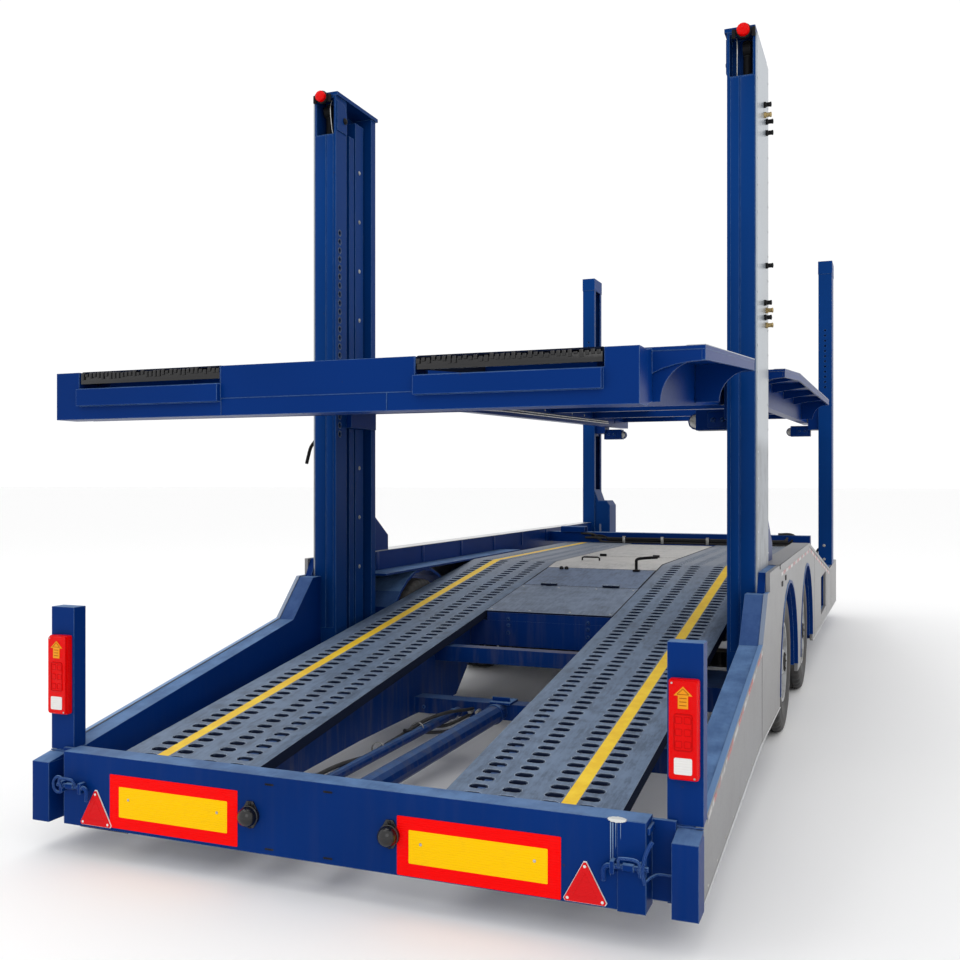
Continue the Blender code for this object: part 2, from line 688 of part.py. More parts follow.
def build_locker_box():
    """Open box between the main beams under the hump, which the cover plates and the hatch close."""
    wall, end = LOCKER_WALL, LOCKER_END
    floor = on_line(DECK_LINE, BOX_START) - LOCKER_DEPTH
    first, last = BOX_START + INSET, end - INSET
    top = [(station, on_line(DECK_LINE, station) - COVER_PLATE - SEAT) for station in (last, HUMP_START, first)]
    side = [(first, floor + INSET), (last, floor + INSET)] + top
    walls = [side_sheet(side, sign * (BOX_HALF - wall), sign * (BOX_HALF - INSET)) for sign in SIDES.values()]
    reach = BEAM_INNER - SEAT
    ear_top = beam_top(BOX_START) - TRACK_FOLD
    walls.append(block(-reach, reach, BOX_START, BOX_START + wall, floor + INSET / 2, ear_top))
    walls.append(block(-BOX_HALF, BOX_HALF, BOX_START + INSET / 2, BOX_START + wall - INSET / 2,
                       floor + INSET, on_line(DECK_LINE, BOX_START) - COVER_PLATE - INSET))
    walls.append(block(-reach, reach, end - wall, end, floor + INSET / 2, HUMP_Z - TRACK_FOLD - INSET))
    half = BOX_HALF - 2 * INSET
    bottom = block(-half, half, first + INSET, last - INSET, floor, floor + wall)
    place(join(bottom, *walls), "locker_box", "blue_paint")


def cover_plate(start, end, half):
    """Return a plate on the hump that follows the deck's line."""
    stations = [start] + [s for s, height in DECK_LINE if start < s < end] + [end]
    top = [(station, on_line(DECK_LINE, station)) for station in stations]
    low = [(station, height - COVER_PLATE) for station, height in reversed(top)]
    return side_sheet(top + low, -half, half)


def knuckles(offsets, length):
    """Return the hinge knuckles of the hatch at distances from each hinge's middle."""
    height = on_line(DECK_LINE, LID_START) + HINGE_RADIUS - KNUCKLE_SINK
    return [bar("X", (sign * HINGE_X + offset, LID_START, height), HINGE_RADIUS, length, 10)
            for sign in SIDES.values() for offset in offsets]


def build_covers():
    """Two fixed cover plates with the hatch lid between them, hung on two hinges."""
    half = TRACK_INNER - COVER_GAP
    step = KNUCKLE + 2 * SEAT
    notch = HINGE_RADIUS + COVER_GAP
    rear = cover_plate(BOX_START, LID_START - COVER_GAP, half)
    middle_slots = [block(sign * HINGE_X - KNUCKLE / 2 - SEAT, sign * HINGE_X + KNUCKLE / 2 + SEAT,
                          LID_START - notch, LID_START, HUMP_Z / 2, HUMP_Z) for sign in SIDES.values()]
    rear = cut(join(rear, *knuckles((-step, step), KNUCKLE)), *middle_slots)
    place(rear, "rear_cover", "grey_track")
    place(cover_plate(LID_END + COVER_GAP, COVER_END, half), "front_cover", "grey_track")
    inset = RUNNING_GAP - COVER_GAP
    lid = cover_plate(LID_START + inset, LID_END - inset, half - LID_MARGIN)
    reach = KNUCKLE / 2 + SEAT
    middles = [sign * HINGE_X + offset for sign in SIDES.values() for offset in (-step, step)]
    side_slots = [block(middle - reach, middle + reach, LID_START, LID_START + notch, HUMP_Z / 2, HUMP_Z)
                  for middle in middles]
    place(join(cut(lid, *side_slots), *knuckles((0.0,), KNUCKLE)), "hatch_lid", "grey_track")


def build_front_crossbeam():
    """Crossbeam that stands across the front of the hump."""
    half = RAIL_INNER - SEAT
    beam = block(-half, half, CROSSBEAM_START, CROSSBEAM_START + CROSSBEAM_DEPTH, CROSSBEAM_LOW, CROSSBEAM_TOP)
    place(beam, "front_crossbeam", "blue_paint")


def build_rear_post(side):
    """Rear lifting post: box section, guide and front flange on one web, open towards the deck."""
    sign = SIDES[side]
    box_end = POST_START + POST_BOX_DEPTH
    web = POST_OUTER - POST_WEB
    flange = POST_END - POST_FRONT_DEPTH
    section = [(POST_INNER, POST_START), (POST_OUTER, POST_START), (POST_OUTER, POST_END),
               (POST_INNER, POST_END), (POST_INNER, flange), (web, flange), (web, box_end), (POST_INNER, box_end)]
    wall = POST_BOX_WALL
    hollow = [(POST_INNER + wall, POST_START + wall), (POST_OUTER - wall, POST_START + wall),
              (POST_OUTER - wall, box_end - wall), (POST_INNER + wall, box_end - wall)]
    loops = [[(sign * x, along(station)) for x, station in points] for points in (section, hollow)]
    column = sheet(loops, "plan", POST_FOOT_Z, POST_TOP)
    cap = block(sign * (POST_INNER - 0.012), sign * (POST_OUTER - INSET), POST_START - 0.004, POST_END + 0.010,
                POST_TOP - 0.002, POST_TOP + POST_CAP)
    guides = [block(sign * POST_GUIDE_FACE, sign * (web + INSET), start, end, POST_FOOT_Z + INSET, top)
              for start, end, top in POST_GUIDES]
    margin = POST_WINDOW_MARGIN
    window = block(sign * (POST_INNER + margin), sign * (POST_OUTER - margin), POST_START - margin,
                   POST_START + wall + INSET, POST_TOP - POST_WINDOW, POST_TOP - margin)
    holes = [bar("X", (sign * (POST_INNER + wall / 2), POST_HOLE_STATION, POST_HOLE_TOP - POST_HOLE_PITCH * index),
                 POST_HOLE_RADIUS, wall + 0.01, 6) for index in range(POST_HOLE_COUNT)]
    place(cut(join(column, cap, *guides), window, *holes), "rear_post_" + side, "blue_paint")
    outer = POST_OUTER + SEAT
    cladding = block(sign * outer, sign * (outer + CLADDING_WALL), POST_START, POST_END, WALL_TOP - 0.4,
                     POST_TOP - 0.02)
    place(cladding, "post_cladding_" + side, "silver_panel")
    depth = 0.036
    lamp = bar("Y", (sign * (POST_INNER + 0.080), POST_START - 0.004 - depth / 2 - SEAT,
                     POST_TOP + POST_CAP - POST_LAMP_RADIUS + 0.003), POST_LAMP_RADIUS, depth)
    place(lamp, "post_lamp_" + side, "lamp_red")


def build_front_post(side):
    """Front lifting post: a channel with a slot towards the deck, a row of holes and a sleeve at the top."""
    sign = SIDES[side]
    wall = FRONT_POST_WALL
    inner, outer, start, end = FRONT_POST_INNER, FRONT_POST_OUTER, FRONT_POST_START, FRONT_POST_END
    section = [(inner, start), (outer, start), (outer, end), (inner, end), (inner, end - FRONT_POST_SLOT),
               (inner + wall, end - FRONT_POST_SLOT), (inner + wall, end - wall), (outer - wall, end - wall),
               (outer - wall, start + wall), (inner + wall, start + wall), (inner + wall, start + FRONT_POST_SLOT),
               (inner, start + FRONT_POST_SLOT)]
    column = sheet([[(sign * x, along(station)) for x, station in section]], "plan", NOTCH_Z + SEAT,
                   FRONT_POST_TOP)
    cap = block(sign * (inner - 0.003), sign * (outer + 0.003), start - 0.004, end + 0.004,
                FRONT_POST_TOP - 0.12, FRONT_POST_TOP + 0.006)
    core = block(sign * (inner + wall), sign * (outer - wall), start + wall, end - wall,
                 FRONT_POST_TOP - 0.15, FRONT_POST_TOP - 0.006)
    post = join(column, cut(cap, core))
    holes = [bar("Y", (sign * (inner + outer) / 2, start + wall / 2, FRONT_HOLE_TOP - FRONT_HOLE_PITCH * index),
                 FRONT_HOLE_RADIUS, wall + 0.01, 6) for index in range(FRONT_HOLE_COUNT)]
    post = cut(post, *holes)
    if side == "left":
        post = join(post, *lock_box(sign))
    place(post, "front_post_" + side, "blue_paint")


def lock_box(sign):
    """Return the lock at the foot of the left front post: a box with a sloping top and a slotted rear plate."""
    root, tip = FRONT_POST_INNER + 0.005, FRONT_POST_INNER - LOCK_BOX_WIDTH
    start, end = FRONT_POST_START + 0.015, FRONT_POST_END - 0.015
    wall = 0.008
    low, top = LOCK_BOX_LOW, LOCK_BOX_TOP
    outer = [(root, low), (tip, low), (tip, top - 0.05), (tip + 0.035, top), (root - 0.045, top),
             (root, top + 0.12)]
    inner = [(root - wall, low + wall), (tip + wall, low + wall), (tip + wall, top - 0.054),
             (tip + 0.039, top - wall), (root - 0.042, top - wall), (root - wall, top + 0.090)]
    slot = [(root - 0.075, low + 0.04), (root - 0.055, low + 0.04), (root - 0.055, low + 0.22),
            (root - 0.075, low + 0.22)]
    middle = [((x + u) / 2, (z + v) / 2) for (x, z), (u, v) in zip(outer, inner)]
    pieces = []
    for loops, near, far in (((outer, inner), start, end), ((middle, slot), start + INSET, start + wall)):
        turned_loops = [[(sign * x, z) for x, z in loop] for loop in loops]
        pieces.append(sheet(turned_loops, "front", -along(far), -along(near)))
    return pieces


def build_tail_lamp(side):
    """Tall tail lamp on its post."""
    sign = SIDES[side]
    face = LAMP_POST_START - SEAT
    lamp = block(sign * (LAMP_POST_INNER + 0.004), sign * (LAMP_POST_OUTER - 0.006), face - TAIL_LAMP_DEPTH,
                 face, TAIL_LAMP_LOW, TAIL_LAMP_LOW + TAIL_LAMP_HEIGHT)
    place(lamp, "tail_lamp_" + side, "lamp_red")


def build_buffer(side):
    """Round rubber buffer on the crossmember's face, with a domed nose."""
    sign = SIDES[side]
    nose = [(0.0, 0.0), (0.0, BUFFER_RADIUS)]
    nose += arc((BUFFER_LENGTH - 0.018, BUFFER_RADIUS - 0.018), 0.018, 90, 0, 3)
    nose += [(BUFFER_LENGTH + 0.003, BUFFER_RADIUS * 0.3), (BUFFER_LENGTH + 0.004, 0.0)]
    piece = turned([(-x, radius) for x, radius in nose], False)
    piece.data.transform(Matrix.Rotation(math.pi / 2, 4, "Z"))
    piece.location = (sign * BUFFER_X, along(-SEAT), BUFFER_Z)
    place(piece, "rubber_buffer_" + side, "rubber")


def build_drawbar():
    """Drawbar: a box beam from under the front well that tapers to the towing eye."""
    root = DRAWBAR_ROOT
    neck = EYE_TIP - EYE_RADIUS
    middle = (DRAWBAR_TOP + DRAWBAR_BOTTOM) / 2
    taper, end = neck - DRAWBAR_TAPER, neck - DRAWBAR_NECK
    beam = side_sheet([(root, DRAWBAR_BOTTOM), (taper, DRAWBAR_BOTTOM), (end, middle - DRAWBAR_NECK_HALF),
                       (end, middle + DRAWBAR_NECK_HALF), (taper, DRAWBAR_TOP - SEAT), (root, DRAWBAR_TOP - SEAT)],
                      -DRAWBAR_HALF, DRAWBAR_HALF)
    shank = EYE_RADIUS / 2
    loop = arc((0.0, along(neck)), EYE_RADIUS, -60, 240, 20)
    loop += [(-shank, along(neck) - SHANK_LENGTH), (shank, along(neck) - SHANK_LENGTH)]
    hole = arc((0.0, along(neck)), EYE_BORE, 0, 345, 15)
    eye = sheet([loop, hole], "plan", middle - EYE_THICK / 2, middle + EYE_THICK / 2)
    place(join(beam, eye), "drawbar", "blue_paint")


def build_support_leg(side):
    """Wind-down support leg at a front corner, standing on its foot plate, with its crank folded down."""
    sign = SIDES[side]
    ram_half = LEG_TUBE - LEG_RAM_WALL
    tube = block(sign * (LEG_X - LEG_TUBE), sign * (LEG_X + LEG_TUBE), LEG_STATION - LEG_TUBE,
                 LEG_STATION + LEG_TUBE, *LEG_TUBE_Z)
    ram = block(sign * (LEG_X - ram_half), sign * (LEG_X + ram_half), LEG_STATION - ram_half,
                LEG_STATION + ram_half, *LEG_RAM_Z)
    foot = block(sign * (LEG_X - LEG_FOOT), sign * (LEG_X + LEG_FOOT), LEG_STATION - LEG_FOOT,
                 LEG_STATION + LEG_FOOT, 0.0, LEG_FOOT_PLATE)
    bracket_end = LEG_STATION - LEG_TUBE + SEAT * 10
    bracket = block(sign * (LEG_X - LEG_BRACKET_HALF), sign * (LEG_X + LEG_BRACKET_HALF),
                    WELL_END - 0.005 + SEAT, bracket_end, *LEG_BRACKET_Z)
    root = LEG_X + LEG_TUBE
    hand = root + CRANK_REACH
    plate = CRANK_BAR + 0.004
    shaft = bar("X", (sign * (root + hand) / 2, LEG_STATION, CRANK_Z), CRANK_BAR, CRANK_GRIP, 8)
    arm = block(sign * (hand - 0.008), sign * (hand + 0.004), LEG_STATION - plate, LEG_STATION + plate,
                CRANK_Z - CRANK_DROP - plate, CRANK_Z + plate)
    grip = bar("X", (sign * (hand + CRANK_GRIP / 2 - INSET), LEG_STATION, CRANK_Z - CRANK_DROP), CRANK_BAR,
               CRANK_GRIP, 8)
    place(join(tube, ram, foot, bracket, shaft, arm, grip), "support_leg_" + side, "blue_paint")


def build_axle(position):
    """Axle tube with its stub ends, trailing arms, air springs and brake plates."""
    station = AXLE_STATIONS[position]
    tube = bar("X", (0.0, station, AXLE_Z), AXLE_RADIUS, 2 * (WHEEL_CENTRE_X + STUB_LENGTH))
    pieces = []
    middle = (BEAM_INNER + BEAM_OUTER) / 2
    spring_low, spring_high = AXLE_Z - SPRING_LAP, BEAM_AXLE_Z - SEAT
    drum_x = WHEEL_CENTRE_X - TYRE_WIDTH / 2 - DRUM_INSET
    for sign in SIDES.values():
        pieces.append(block(sign * (middle - TRAILING_ARM_HALF), sign * (middle + TRAILING_ARM_HALF),
                            station - ARM_BEHIND, station + ARM_AHEAD, AXLE_Z - TRAILING_ARM_LOW,
                            AXLE_Z - TRAILING_ARM_TOP))
        pieces.append(bar("Z", (sign * middle, station + SPRING_AHEAD, (spring_low + spring_high) / 2),
                          SPRING_RADIUS, spring_high - spring_low))
        pieces.append(bar("X", (sign * drum_x, station, AXLE_Z), DRUM_RADIUS, DRUM_WIDTH, 20))
    place(join(tube, *pieces), "axle_" + position, "axle_black")


def build_wheel(position, side):
    """Tyre and steel wheel on one stub, with hand holes in the disc and the origin on the axle line."""
    sign = SIDES[side]
    half = TYRE_WIDTH / 2
    spot = (sign * WHEEL_CENTRE_X, along(AXLE_STATIONS[position]), AXLE_Z)
    bead = RIM_RADIUS + SEAT
    shoulder = TYRE_RADIUS - 0.027
    wall = (TYRE_RADIUS + RIM_RADIUS) / 2 - 0.010
    tyre = turned([(-half + 0.020, bead), (-half, wall), (-half + 0.008, shoulder), (-half + 0.035, TYRE_RADIUS),
                   (half - 0.035, TYRE_RADIUS), (half - 0.008, shoulder), (half, wall), (half - 0.020, bead)], True)
    rim_half = half - 0.012
    wheel = turned([(0.095, 0.0), (0.095, HUB_BORE), (-0.085, HUB_BORE), (-0.085, 0.100), (0.022, 0.115),
                    (0.022, RIM_RADIUS - 0.030), (-rim_half, RIM_RADIUS - 0.019), (-rim_half, RIM_RADIUS),
                    (rim_half, RIM_RADIUS), (rim_half, RIM_RADIUS - 0.017), (0.042, RIM_RADIUS - 0.025),
                    (0.042, 0.110), (0.080, 0.095), (0.112, 0.060), (0.112, 0.0)], False)
    holes = []
    for index in range(HAND_HOLES):
        turn = 2 * math.pi * (index + 0.13) / HAND_HOLES
        hole = bar("X", (0.032, 0.0, 0.0), HAND_HOLE_RADIUS, 0.06, 8)
        hole.data.transform(Matrix.Translation((0.0, HAND_HOLE_CIRCLE * math.cos(turn) - along(0.0),
                                                HAND_HOLE_CIRCLE * math.sin(turn))))
        holes.append(hole)
    wheel = cut(wheel, *holes)
    for piece, name, coat in ((tyre, "tyre", "rubber"), (wheel, "wheel", "wheel_steel")):
        if sign < 0:
            piece.data.transform(Matrix.Rotation(math.pi, 4, "Z"))
        piece.location = spot
        place(piece, f"{name}_{position}_{side}", coat)


def upper_z(station):
    """Return the height of the upper deck's top line."""
    return on_line(UPPER_LINE, station)


def upper_strip(start, end, low, high, inner, outer):
    """Return a solid that follows the upper deck's line, between two depths below it."""
    stations = [start] + [s for s, height in UPPER_LINE if start < s < end] + [end]
    top = [(station, upper_z(station) - low) for station in stations]
    bottom = [(station, upper_z(station) - high) for station in reversed(stations)]
    return side_sheet(top + bottom, inner, outer)


def pin_z(station):
    """Return the height of a lifting pin's centre at rest."""
    return upper_z(station) - PIN_DROP


def wing(position, sign):
    """Return the solids of one outboard wing: top plate, edge, and a curved gusset at each end."""
    start, end = WINGS[position]
    root = UPPER_BEAM_OUTER + SEAT
    plate = upper_strip(start, end, 0.0, WING_WALL, sign * root, sign * HALF_WIDTH)
    edge = upper_strip(start + INSET, end - INSET, INSET, WING_EDGE_DEPTH, sign * (HALF_WIDTH - WING_WALL),
                       sign * (HALF_WIDTH - INSET))
    pieces = [plate, edge]
    span = HALF_WIDTH - root - 4 * INSET
    drop = UPPER_BEAM_DEPTH - 0.010
    steps = 8
    for station in (start + 2 * INSET, end - WING_WALL - 2 * INSET):
        top = upper_z(station) - 2 * INSET
        turns = [math.pi / 2 * step / steps for step in range(steps)]
        curve = [(root + INSET + span * (1 - math.cos(turn)),
                  top - drop + (drop - WING_EDGE_DEPTH) * math.sin(turn)) for turn in turns]
        loop = [(root + INSET, top)] + curve
        loop += [(HALF_WIDTH - 2 * INSET, top - WING_EDGE_DEPTH), (HALF_WIDTH - 2 * INSET, top)]
        low = -along(station + WING_WALL)
        pieces.append(sheet([[(sign * x, z) for x, z in loop]], "front", low, low + WING_WALL))
    return pieces


def build_front_wing(side):
    """Front wing, bolted to the side beam between the lifting posts."""
    pieces = wing("front", SIDES[side])
    place(join(*pieces), "upper_wing_" + side, "blue_paint")


def cross_stations():
    """Return the stations of the upper deck's cross members, clear of the lifting pins."""
    rear = [CROSS_FIRST, WINGS["rear"][1] + 0.22]
    middle = []
    station = POST_END + 0.41
    while station < FRONT_POST_START:
        middle.append(station)
        station += CROSS_PITCH
    return rear + middle + [FRONT_POST_END + 0.25]


def build_upper_frame():
    """Upper deck frame: side beams with a bore and a slot for the lifting pins, and the cross members."""
    beams = []
    start, end = UPPER_LINE[0][0] + UPPER_REAR_DEPTH + SEAT, UPPER_LINE[-1][0]
    hole = (PIN_RADIUS + SEAT) / math.cos(math.pi / PIN_STEPS)
    middle = (UPPER_BEAM_INNER + UPPER_BEAM_OUTER) / 2
    play = 0.004
    for sign in SIDES.values():
        beam = upper_strip(start, end, UPPER_PLATE + SEAT, UPPER_BEAM_DEPTH, sign * UPPER_BEAM_INNER,
                           sign * UPPER_BEAM_OUTER)
        bore = bar("X", (sign * middle, FRONT_PIN, pin_z(FRONT_PIN)), hole, 2 * UPPER_BEAM_WIDTH, PIN_STEPS)
        slot = block(sign * (UPPER_BEAM_INNER - 0.05), sign * (UPPER_BEAM_OUTER + 0.05),
                     REAR_PIN - REAR_PIN_TRAVEL - PIN_RADIUS, REAR_PIN + REAR_PIN_TRAVEL + PIN_RADIUS,
                     pin_z(REAR_PIN) - PIN_RADIUS - play, pin_z(REAR_PIN) + PIN_RADIUS + play)
        beams.append(cut(beam, bore, slot))
    half = CROSS_WIDTH / 2
    reach = UPPER_BEAM_INNER + 0.01
    pieces = [upper_strip(station - half, station + half, UPPER_PLATE + INSET, UPPER_PLATE + CROSS_DEPTH, -reach,
                          reach) for station in cross_stations()]
    place(join(beams[0], *beams[1:], *pieces), "upper_frame", "blue_paint")


def build_upper_rear_beam():
    """Rear beam of the upper deck: notched for the tracks, with a ledge under each and the two rear wings."""
    start = UPPER_LINE[0][0]
    end = start + UPPER_REAR_DEPTH
    top = UPPER_LINE[0][1]
    beam = block(-UPPER_REAR_HALF, UPPER_REAR_HALF, start + UPPER_LEDGE, end, UPPER_REAR_BOTTOM, top)
    gap = 0.002
    notches = [block(sign * (UPPER_TRACK_INNER - gap), sign * (UPPER_TRACK_OUTER + gap), start, end + 0.01,
                     top - UPPER_NOTCH_Z, top + 0.01) for sign in SIDES.values()]
    beam = cut(beam, *notches)
    ledge_top = top - UPPER_NOTCH_Z - 0.004
    pieces = []
    for sign in SIDES.values():
        pieces.append(block(sign * UPPER_TRACK_INNER, sign * (UPPER_TRACK_OUTER - gap), start,
                            start + UPPER_LEDGE + 0.01, ledge_top - 0.062, ledge_top))
        root = UPPER_BEAM_OUTER + SEAT
        box = [(end - 0.01, UPPER_REAR_BOTTOM + INSET), (WINGS["rear"][0] + 0.01, UPPER_REAR_BOTTOM + 0.020),
               (WINGS["rear"][0] + 0.01, upper_z(WINGS["rear"][0]) - 0.003), (end - 0.01, top - INSET)]
        pieces.append(side_sheet(box, sign * (root + 2 * INSET), sign * (UPPER_REAR_HALF - INSET)))
        pieces += wing("rear", sign)
    place(join(beam, *pieces), "upper_rear_beam", "blue_paint")


def build_upper_track(side):
    """Upper track plate, with its rear end in the rear beam's notch."""
    sign = SIDES[side]
    start, end = UPPER_LINE[0][0] + UPPER_LEDGE + 0.012, UPPER_LINE[-1][0]
    inner, outer = sign * UPPER_TRACK_INNER, sign * UPPER_TRACK_OUTER
    plate = upper_strip(start, end, 0.0, UPPER_PLATE, inner, outer)
    top = UPPER_LINE[0][1]
    lip = block(inner, outer, start, start + 0.008, top - UPPER_NOTCH_Z + SEAT, top - 0.002)
    place(join(plate, lip), "upper_track_" + side, "grey_track")


def lifting_arm(sign, station, outer):
    """Return the arm and chain roller that reach under the upper deck's side beam from a carriage."""
    high = pin_z(station) + PIN_DROP - ARM_DROP
    low = high - ARM_DEPTH
    tip = CARRIAGE_INNER - ARM_REACH
    arm = block(sign * tip, sign * outer, station - ARM_HALF, station + ARM_HALF, low, high)
    roller = bar("Y", (sign * tip, station, (low + high) / 2 - 0.006), ROLLER_RADIUS - 0.018, ROLLER_WIDTH, 12)
    return [arm, roller]


def lifting_pin(sign, station):
    """Return the pin that carries the upper deck's side beam on a carriage."""
    root, tip = CARRIAGE_INNER + 0.01, UPPER_BEAM_INNER - 0.006
    return bar("X", (sign * (root + tip) / 2, station, pin_z(station)), PIN_RADIUS, root - tip, PIN_STEPS)


def build_rear_carriage(side):
    """Carriage that slides in the rear post, with its pin and, on the right, the arm under the deck."""
    sign = SIDES[side]
    height = pin_z(REAR_PIN)
    start = POST_START + POST_BOX_DEPTH + SEAT
    end = POST_END - POST_FRONT_DEPTH - SEAT
    outer = POST_GUIDE_FACE - SEAT
    body = block(sign * CARRIAGE_INNER, sign * outer, start, end, height - CARRIAGE_HALF_HEIGHT,
                 height + CARRIAGE_HALF_HEIGHT)
    arm = lifting_arm(sign, REAR_PIN, CARRIAGE_INNER + 0.02) if side == "right" else []
    place(join(body, lifting_pin(sign, REAR_PIN), *arm), "rear_carriage_" + side, "blue_paint")


def build_front_carriage(side):
    """Carriage that slides in the front post, with the deck's pivot pin and the arm under the deck."""
    sign = SIDES[side]
    height = pin_z(FRONT_PIN)
    inset = FRONT_POST_WALL + SEAT
    shoe = block(sign * (FRONT_POST_INNER + inset), sign * (FRONT_POST_OUTER - inset), FRONT_POST_START + inset,
                 FRONT_POST_END - inset, height - CARRIAGE_HALF_HEIGHT, height + CARRIAGE_HALF_HEIGHT)
    neck = block(sign * CARRIAGE_INNER, sign * (FRONT_POST_INNER + 0.03), FRONT_POST_START + FRONT_POST_SLOT + SEAT,
                 FRONT_POST_END - FRONT_POST_SLOT - SEAT, height - CARRIAGE_HALF_HEIGHT + 0.02,
                 height + CARRIAGE_HALF_HEIGHT - 0.02)
    place(join(shoe, neck, lifting_pin(sign, FRONT_PIN), *lifting_arm(sign, FRONT_PIN, CARRIAGE_INNER + 0.02)),
          "front_carriage_" + side, "blue_paint")


def main():
    """Build every piece of the trailer."""
    clear_scene()
    build_crossmember()
    build_main_frame()
    build_locker_box()
    build_covers()
    build_front_crossbeam()
    build_drawbar()
    for side in SIDES:
        build_side_rail(side)
        build_side_panel(side)
        build_wheel_arch(side)
        build_track(side)
        build_rear_post(side)
        build_front_post(side)
        build_tail_lamp(side)
        build_buffer(side)
        build_support_leg(side)
        build_upper_track(side)
        build_front_wing(side)
        build_rear_carriage(side)
        build_front_carriage(side)
    for position in AXLE_STATIONS:
        build_axle(position)
        for side in SIDES:
            build_wheel(position, side)
    build_upper_frame()
    build_upper_rear_beam()


main()
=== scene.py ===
"""Finish of a centre-axle car transporter trailer: painted steel, perforated tracks, lamps, plates and fittings.

Everything is in metres in the frame's own axes: +X right, +Y forward, +Z up. A station is the distance forward of
the rear crossmember's face.
"""
import logging
import math
import random
from dataclasses import dataclass
from enum import Enum
from typing import Any, Callable, Iterable, Sequence

import bmesh
import bpy
from mathutils import Matrix, Vector


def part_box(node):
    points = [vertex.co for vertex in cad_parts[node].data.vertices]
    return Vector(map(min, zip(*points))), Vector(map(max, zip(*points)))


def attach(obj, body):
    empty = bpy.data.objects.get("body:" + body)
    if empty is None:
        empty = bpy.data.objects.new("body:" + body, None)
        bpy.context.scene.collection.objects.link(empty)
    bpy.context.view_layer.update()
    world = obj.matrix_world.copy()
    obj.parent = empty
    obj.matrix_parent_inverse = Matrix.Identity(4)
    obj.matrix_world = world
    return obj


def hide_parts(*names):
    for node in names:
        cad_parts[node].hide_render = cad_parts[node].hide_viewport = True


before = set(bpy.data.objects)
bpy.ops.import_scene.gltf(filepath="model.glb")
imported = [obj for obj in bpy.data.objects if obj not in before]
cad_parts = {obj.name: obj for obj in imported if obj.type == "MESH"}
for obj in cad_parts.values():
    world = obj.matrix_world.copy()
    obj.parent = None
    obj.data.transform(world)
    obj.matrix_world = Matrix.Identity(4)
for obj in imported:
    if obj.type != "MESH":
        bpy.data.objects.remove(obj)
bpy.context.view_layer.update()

LOG = logging.getLogger("trailer")

Point = tuple[float, float, float]
Flat = tuple[float, float]
Colour = tuple[float, float, float]
Placer = Callable[[float, float, float], Point]
Object = bpy.types.Object


class Side(Enum):
    """A side of the trailer, with the sign of its X."""

    LEFT = ("left", -1)
    RIGHT = ("right", 1)

    @property
    def word(self) -> str:
        """The side's name as the nodes spell it."""
        return self.value[0]

    @property
    def sign(self) -> int:
        """The sign of the side's X."""
        return self.value[1]


class Body(Enum):
    """A moving body of the frame."""

    TRAILER = "trailer"
    UPPER = "upper_deck"
    HATCH = "hatch"
    REAR_LIFT = "rear_lift"
    FRONT_LIFT = "front_lift"


class Slot(Enum):
    """A material slot of the record."""

    BLUE = "blue_paint"
    TRACK = "grey_track"
    UPPER = "upper_plate"
    SILVER = "silver_panel"
    TYRE = "tyre_rubber"
    RUBBER = "black_rubber"
    LAMP = "lamp_red"
    WHEEL = "wheel_steel"
    AXLE = "axle_black"


@dataclass(frozen=True)
class Layout:
    """Sizes of the frame that several pieces share."""

    middle: float = 5.275
    track_inner: float = 0.375
    track_outer: float = 1.000
    wall_top: float = 0.985
    hump_z: float = 0.8595
    post_start: float = 2.05
    post_end: float = 2.54
    post_inner: float = 1.082
    post_outer: float = 1.204
    post_top: float = 3.585
    front_post_start: float = 7.90
    rear_pin: float = 2.42
    front_pin: float = 8.05
    low_wall_top: float = 0.600
    skin: float = 1.2704
    deck: tuple[Flat, ...] = ((0.0, 0.3275), (3.97, 0.8595), (6.35, 0.8595), (8.10, 0.44), (8.70, 0.44))
    upper: tuple[Flat, ...] = ((-0.07, 1.825), (3.80, 2.100), (8.66, 2.210))

    def y(self, station: float) -> float:
        """The Y of a station."""
        return station - self.middle

    def at(self, x: float, station: float, z: float) -> Point:
        """The place at an X, a station and a height."""
        return (x, self.y(station), z)

    def deck_z(self, station: float) -> float:
        """The height of the lower deck's top at a station."""
        return on_line(self.deck, station)

    def upper_z(self, station: float) -> float:
        """The height of the upper deck's top at a station."""
        return on_line(self.upper, station)

    def rail_z(self, station: float) -> float:
        """The height of a side rail's top behind the rear post."""
        return 0.3385 + 0.1946 * station


def on_line(line: Sequence[Flat], station: float) -> float:
    """Read a broken line.

    Args:
        line: Points of station and height, rear first.
        station: The place to read it at.

    Returns:
        The height there.
    """
    for (start, low), (end, high) in zip(line, line[1:]):
        if station <= end:
            return low + (high - low) * (station - start) / (end - start)
    return line[-1][1]


def scaled(colour: Colour, factor: float, lift: float = 0.0) -> Colour:
    """A colour times a factor, lifted by an amount and no brighter than white."""
    return tuple(min(1.0, channel * factor + lift) for channel in colour)


LAY = Layout()


# Shader maths


def operator(operation: str, swapped: bool = False) -> Callable[["Wire", "Number"], "Wire"]:
    """Make a method that joins a wire and another value by a Math node.

    Args:
        operation: The Math node's operation.
        swapped: Whether the other value comes first.

    Returns:
        The method.
    """
    def method(self: "Wire", other: "Number") -> "Wire":
        """Add the Math node."""
        return self.shader.math(operation, *((other, self) if swapped else (self, other)))

    return method


